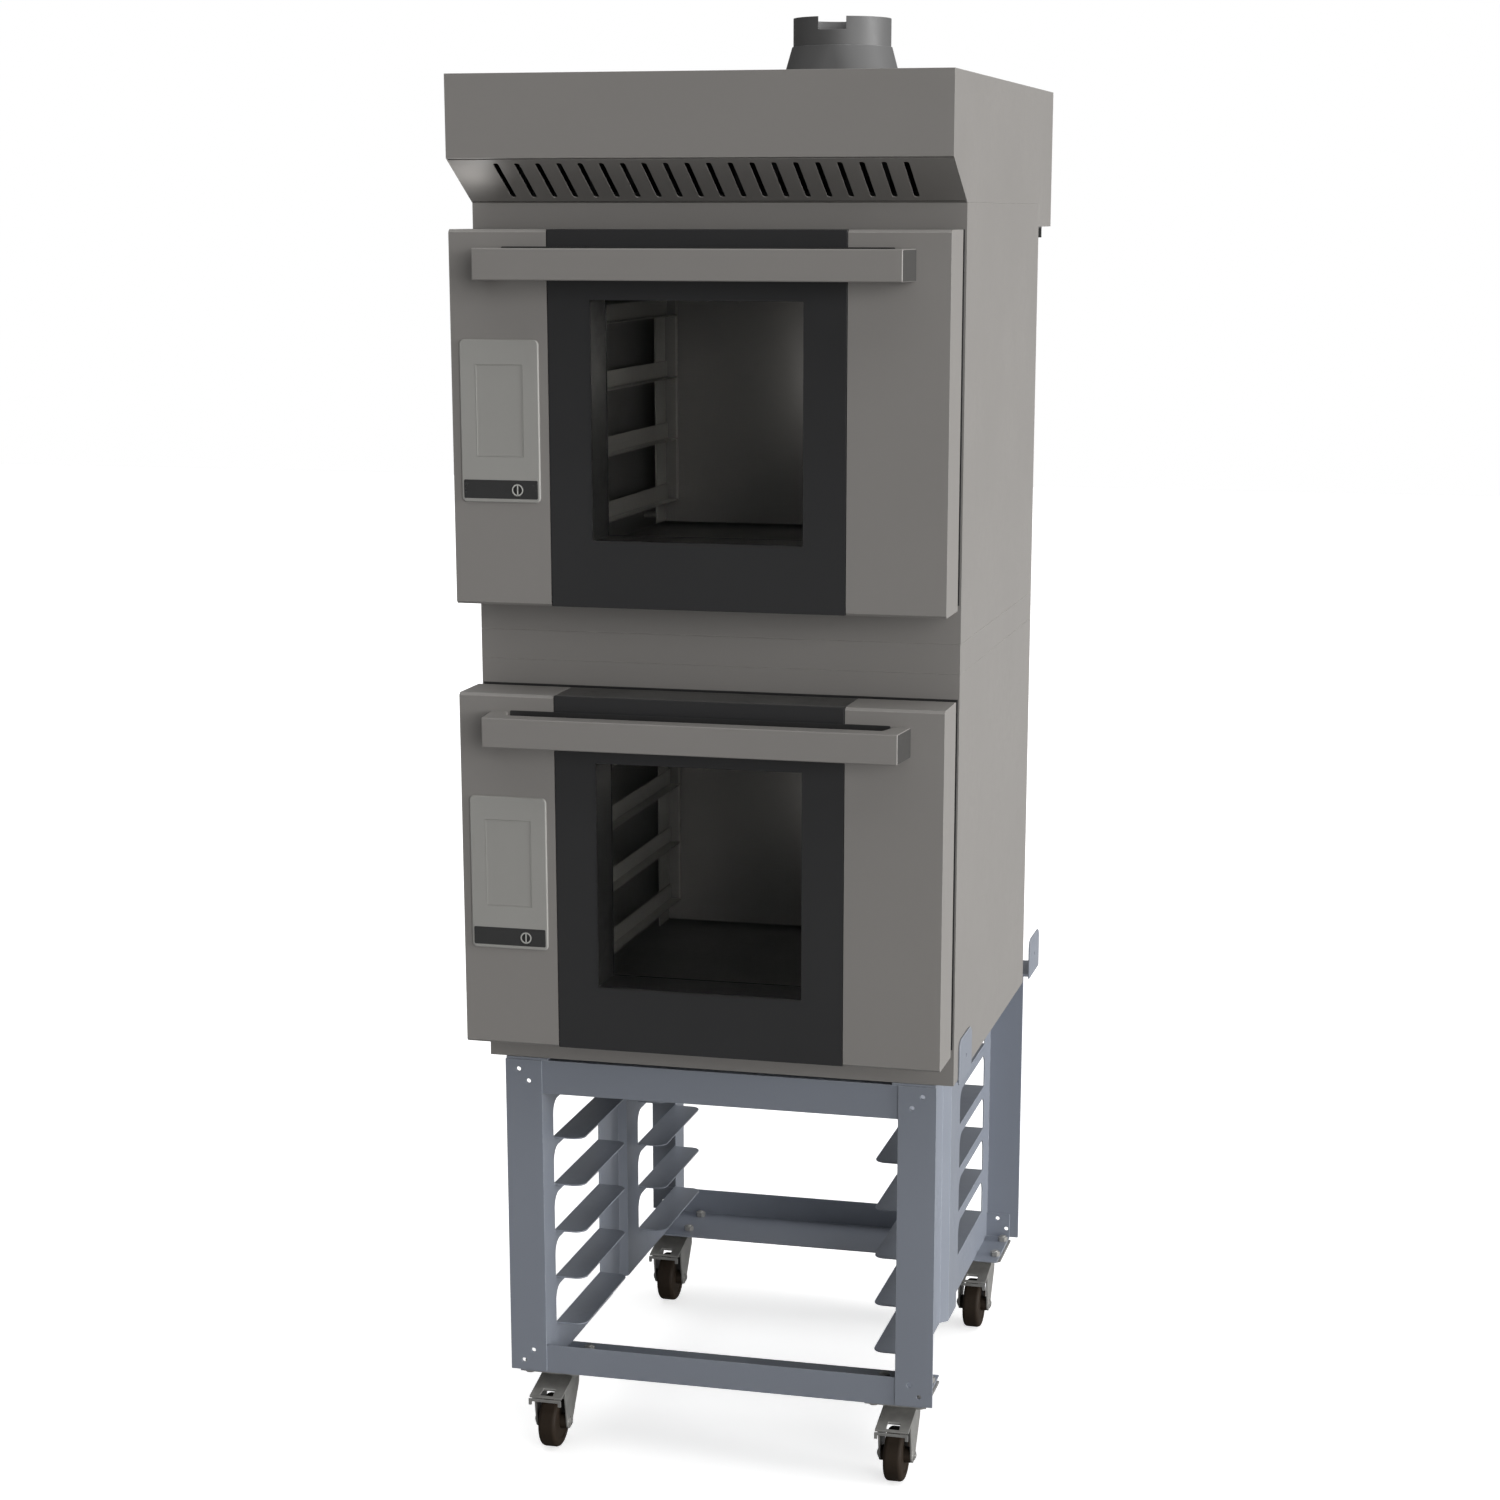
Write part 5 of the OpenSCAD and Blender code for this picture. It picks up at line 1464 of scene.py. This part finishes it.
@dataclass(kw_only=True)
class Caster(Assembly):
    """A swivel caster with its fork, wheel and brake pedal."""

    corner: Corner
    pedal_round: float = 0.4 * MM
    smooth_angle: float = 40.0
    tyre_width: float = 24.0 * MM
    shoulder: float = 5.2 * MM
    wall_ring: float = 6.0 * MM
    wall_step: float = 0.8 * MM
    wall_sink: float = 1.2 * MM
    hub_radius: float = 10.0 * MM
    hub_step: float = 0.6 * MM
    bore: float = 5.05 * MM
    axle_trail: float = 30.0 * MM
    race_radius: float = 33.0 * MM
    race_height: float = 7.0 * MM
    race_lift: float = 0.1 * MM
    race_round: float = 3.2 * MM
    race_rim: float = 5.0 * MM
    race_step: float = 1.0 * MM
    race_sink: float = 1.2 * MM
    nut_radius: float = 4.2 * MM
    nut_height: float = 1.8 * MM
    nut_out: float = 4.4 * MM
    nut_round: float = 0.6 * MM
    nut_rim: float = 1.4 * MM
    nut_step: float = 0.4 * MM
    nut_boss: float = 0.5 * MM

    def node(self, part: str) -> str:
        """Gives the CAD name of one of the caster's parts."""
        return f"{self.corner.value}_{part}"

    def build(self) -> None:
        """Builds the caster's pieces."""
        self.soften(self.node("fork"), self.node("fork_frame"), Surface.ZINC)
        self.soften(self.node("pedal"), self.node("brake_pedal"), Surface.PEDAL, self.pedal_round)
        self.build_wheel()
        self.build_race()
        self.build_nuts()

    def build_wheel(self) -> None:
        """Models the wheel: round shoulders, sunk side walls, raised hub and through bore."""
        low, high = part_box(self.node("wheel"))
        middle = (low + high) / 2
        radius = (high.z - low.z) / 2
        hub_out = (high.x - low.x) / 2 - self.tyre_width / 2
        web = radius - self.shoulder - self.wall_ring - self.wall_step - self.hub_radius - self.hub_step
        wheel = Bench.drum(self.node("tyre"), middle, radius, self.tyre_width, Axis.X, WHEEL_SIDES)
        side = central(middle, Axis.X)
        Bench.round_edges(wheel, lambda at, way: abs(way.x) < ACROSS, self.shoulder, steps=6)
        Bench.inset(wheel, side, self.wall_ring)
        Bench.inset(wheel, side, self.wall_step, -self.wall_sink)
        Bench.inset(wheel, side, web)
        Bench.inset(wheel, side, self.hub_step, hub_out + self.wall_sink)
        Bench.inset(wheel, side, self.hub_radius - self.bore)
        Bench.pierce(wheel, side)
        self.complete(wheel, Surface.TYRE, self.node("roller"), self.node("wheel"), angle=self.smooth_angle)

    def build_race(self) -> None:
        """Models the pressed cup of the swivel race under the top plate."""
        low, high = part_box(self.node("fork"))
        wheel_low, wheel_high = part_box(self.node("wheel"))
        centre = Vector(((low.x + high.x) / 2, (wheel_low.y + wheel_high.y) / 2 + self.axle_trail,
                         high.z + self.race_lift - self.race_height / 2))
        cup = Bench.drum(self.node("swivel_race"), centre, self.race_radius, self.race_height, Axis.Z,
                         WHEEL_SIDES)
        Bench.round_edges(cup, lambda at, way: at.z < centre.z and abs(way.z) < ACROSS, self.race_round,
                          steps=5)
        Bench.inset(cup, along(Axis.Z, -1), self.race_rim)
        Bench.inset(cup, central(centre, Axis.Z, -1), self.race_step, -self.race_sink)
        self.complete(cup, Surface.ZINC, self.node("swivel"), angle=self.smooth_angle)

    def build_nuts(self) -> None:
        """Models a six-sided axle nut and copies it to the fork's other side."""
        wheel_low, wheel_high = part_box(self.node("wheel"))
        axle = (wheel_low + wheel_high) / 2
        place = (wheel_high.x + self.nut_out + self.nut_height / 2, axle.y, axle.z)
        nut = Bench.drum(self.node("axle_nuts"), place, self.nut_radius, self.nut_height, Axis.X, HEX_SIDES)
        Bench.round_edges(nut, everything, self.nut_round, steps=2)
        Bench.inset(nut, along(Axis.X), self.nut_rim)
        Bench.inset(nut, central(axle, Axis.X), self.nut_step, self.nut_boss)
        self.dress(Bench.settle(nut), Surface.PEDAL)
        across = (2 * (axle.x - place[0]), 0.0, 0.0)
        both = Bench.gather([nut, Bench.twin(nut, "axle_nut_twin", across)], self.node("axle_nuts"))
        self.keep(both, self.node("swivel"), Surface.PEDAL)


class LampKind(Enum):
    """Kinds of studio light."""

    SOFT_BOX = "AREA"
    FAR_LIGHT = "SUN"


@dataclass(frozen=True)
class Lamp:
    """A soft studio light, with its size in metres, or in degrees for a far light."""

    name: str
    kind: LampKind
    place: Place
    target: Place
    size: float
    power: float

    def build(self) -> None:
        """Hangs the light and points it at its target."""
        light = bpy.data.lights.new(self.name, self.kind.value)
        light.energy = self.power
        if self.kind is LampKind.FAR_LIGHT:
            light.angle = math.radians(self.size)
        else:
            light.shape = "SQUARE"
            light.size = self.size
        lamp = bpy.data.objects.new(self.name, light)
        lamp.location = self.place
        aim = Vector(self.target) - Vector(self.place)
        lamp.rotation_euler = aim.to_track_quat("-Z", "Y").to_euler()
        lamp.visible_camera = False
        bpy.context.scene.collection.objects.link(lamp)


FLOOR_MIDDLE: Place = (0.0, 0.0, 0.0)


@dataclass(kw_only=True)
class Studio:
    """Pale floor, even surroundings, soft lights and the camera."""

    palette: Palette
    floor_half: float = 14.0
    sky_light: float = 0.14
    sky_seen: float = 1.0
    eye: Place = (0.92842, -3.7451, 1.5776)
    pitch: float = 90.0 - 13.54
    yaw: float = 14.09
    lens: float = 71.753
    sensor: float = 36.0
    sight: float = 60.0
    shift: tuple[float, float] = (-0.00662, 0.12298)
    lamps: tuple[Lamp, ...] = (
        Lamp("right_key", LampKind.FAR_LIGHT, (4.0, -0.3, 0.5), FLOOR_MIDDLE, size=24.0, power=3.25),
        Lamp("top_soft", LampKind.FAR_LIGHT, (0.3, 0.3, 4.0), FLOOR_MIDDLE, size=90.0, power=1.6),
        Lamp("front_key", LampKind.FAR_LIGHT, (2.2, -3.0, 0.7), FLOOR_MIDDLE, size=34.0, power=1.22),
        Lamp("hood_end_card", LampKind.SOFT_BOX, (-0.275, -0.34, 1.58), (-0.305, -0.345, 1.622),
             size=0.03, power=0.033),
        Lamp("lower_oven_lamp", LampKind.SOFT_BOX, (0.10, 0.05, 0.83), (0.10, 0.13, 0.83),
             size=0.05, power=0.055),
        Lamp("upper_oven_lamp", LampKind.SOFT_BOX, (0.10, 0.05, 1.38), (0.10, 0.13, 1.38),
             size=0.05, power=0.12),
    )

    def build(self) -> None:
        """Builds the floor, surroundings, lights and camera."""
        Bench.clear()
        bpy.ops.mesh.primitive_plane_add(size=2 * self.floor_half)
        floor = Bench.named("studio_floor")
        floor.data.materials.append(self.palette.special("studio_floor", FLOOR_FINISH))
        self.build_sky()
        for lamp in self.lamps:
            lamp.build()
        self.build_camera()

    def build_sky(self) -> None:
        """Makes even surroundings, paler to the eye than as a light."""
        world = bpy.data.worlds.new("studio_sky")
        world.use_nodes = True
        tree = world.node_tree
        tree.nodes.clear()
        output = tree.nodes.new("ShaderNodeOutputWorld")
        mix = tree.nodes.new("ShaderNodeMixShader")
        path = tree.nodes.new("ShaderNodeLightPath")
        tree.links.new(path.outputs["Is Camera Ray"], mix.inputs[0])
        for slot, strength in ((1, self.sky_light), (2, self.sky_seen)):
            sky = tree.nodes.new("ShaderNodeBackground")
            sky.inputs["Color"].default_value = WHITE
            sky.inputs["Strength"].default_value = strength
            tree.links.new(sky.outputs[0], mix.inputs[slot])
        tree.links.new(mix.outputs[0], output.inputs["Surface"])
        bpy.context.scene.world = world
        bpy.context.scene.view_settings.view_transform = "Standard"

    def build_camera(self) -> None:
        """Sets the camera at the photograph's viewing angle."""
        lens = bpy.data.cameras.new("photo_camera")
        lens.lens = self.lens
        lens.sensor_width = self.sensor
        lens.shift_x, lens.shift_y = self.shift
        lens.clip_end = self.sight
        camera = bpy.data.objects.new("photo_camera", lens)
        camera.location = self.eye
        camera.rotation_euler = (math.radians(self.pitch), 0.0, math.radians(self.yaw))
        bpy.context.scene.collection.objects.link(camera)
        bpy.context.scene.camera = camera


def dress_nodes(palette: Palette) -> None:
    """Gives every CAD node that still shows its procedural material.

    Args:
        palette: Materials of the finishes.
    """
    slots = {part["node"]: part["material_slot"] for part in frame["record"]["subparts"]}
    for name, node in frame["nodes"].items():
        material = palette.face(Surface(slots[name]))
        if not node.material_slots:
            node.data.materials.append(material)
        for slot in node.material_slots:
            slot.material = material


def main() -> None:
    """Builds the studio and every sub-assembly in order."""
    logging.basicConfig(level=logging.INFO, format="%(name)s: %(message)s")
    palette = Palette()
    Studio(palette=palette).build()
    dress_nodes(palette)
    assemblies: list[Assembly] = [OvenBodies(palette=palette)]
    assemblies += [OvenDoor(palette=palette, deck=deck) for deck in Deck]
    assemblies += [ExtractionHood(palette=palette), TrayStand(palette=palette)]
    assemblies += [Caster(palette=palette, corner=corner) for corner in Corner]
    for assembly in assemblies:
        assembly.build()


if __name__ == "__main__":
    main()
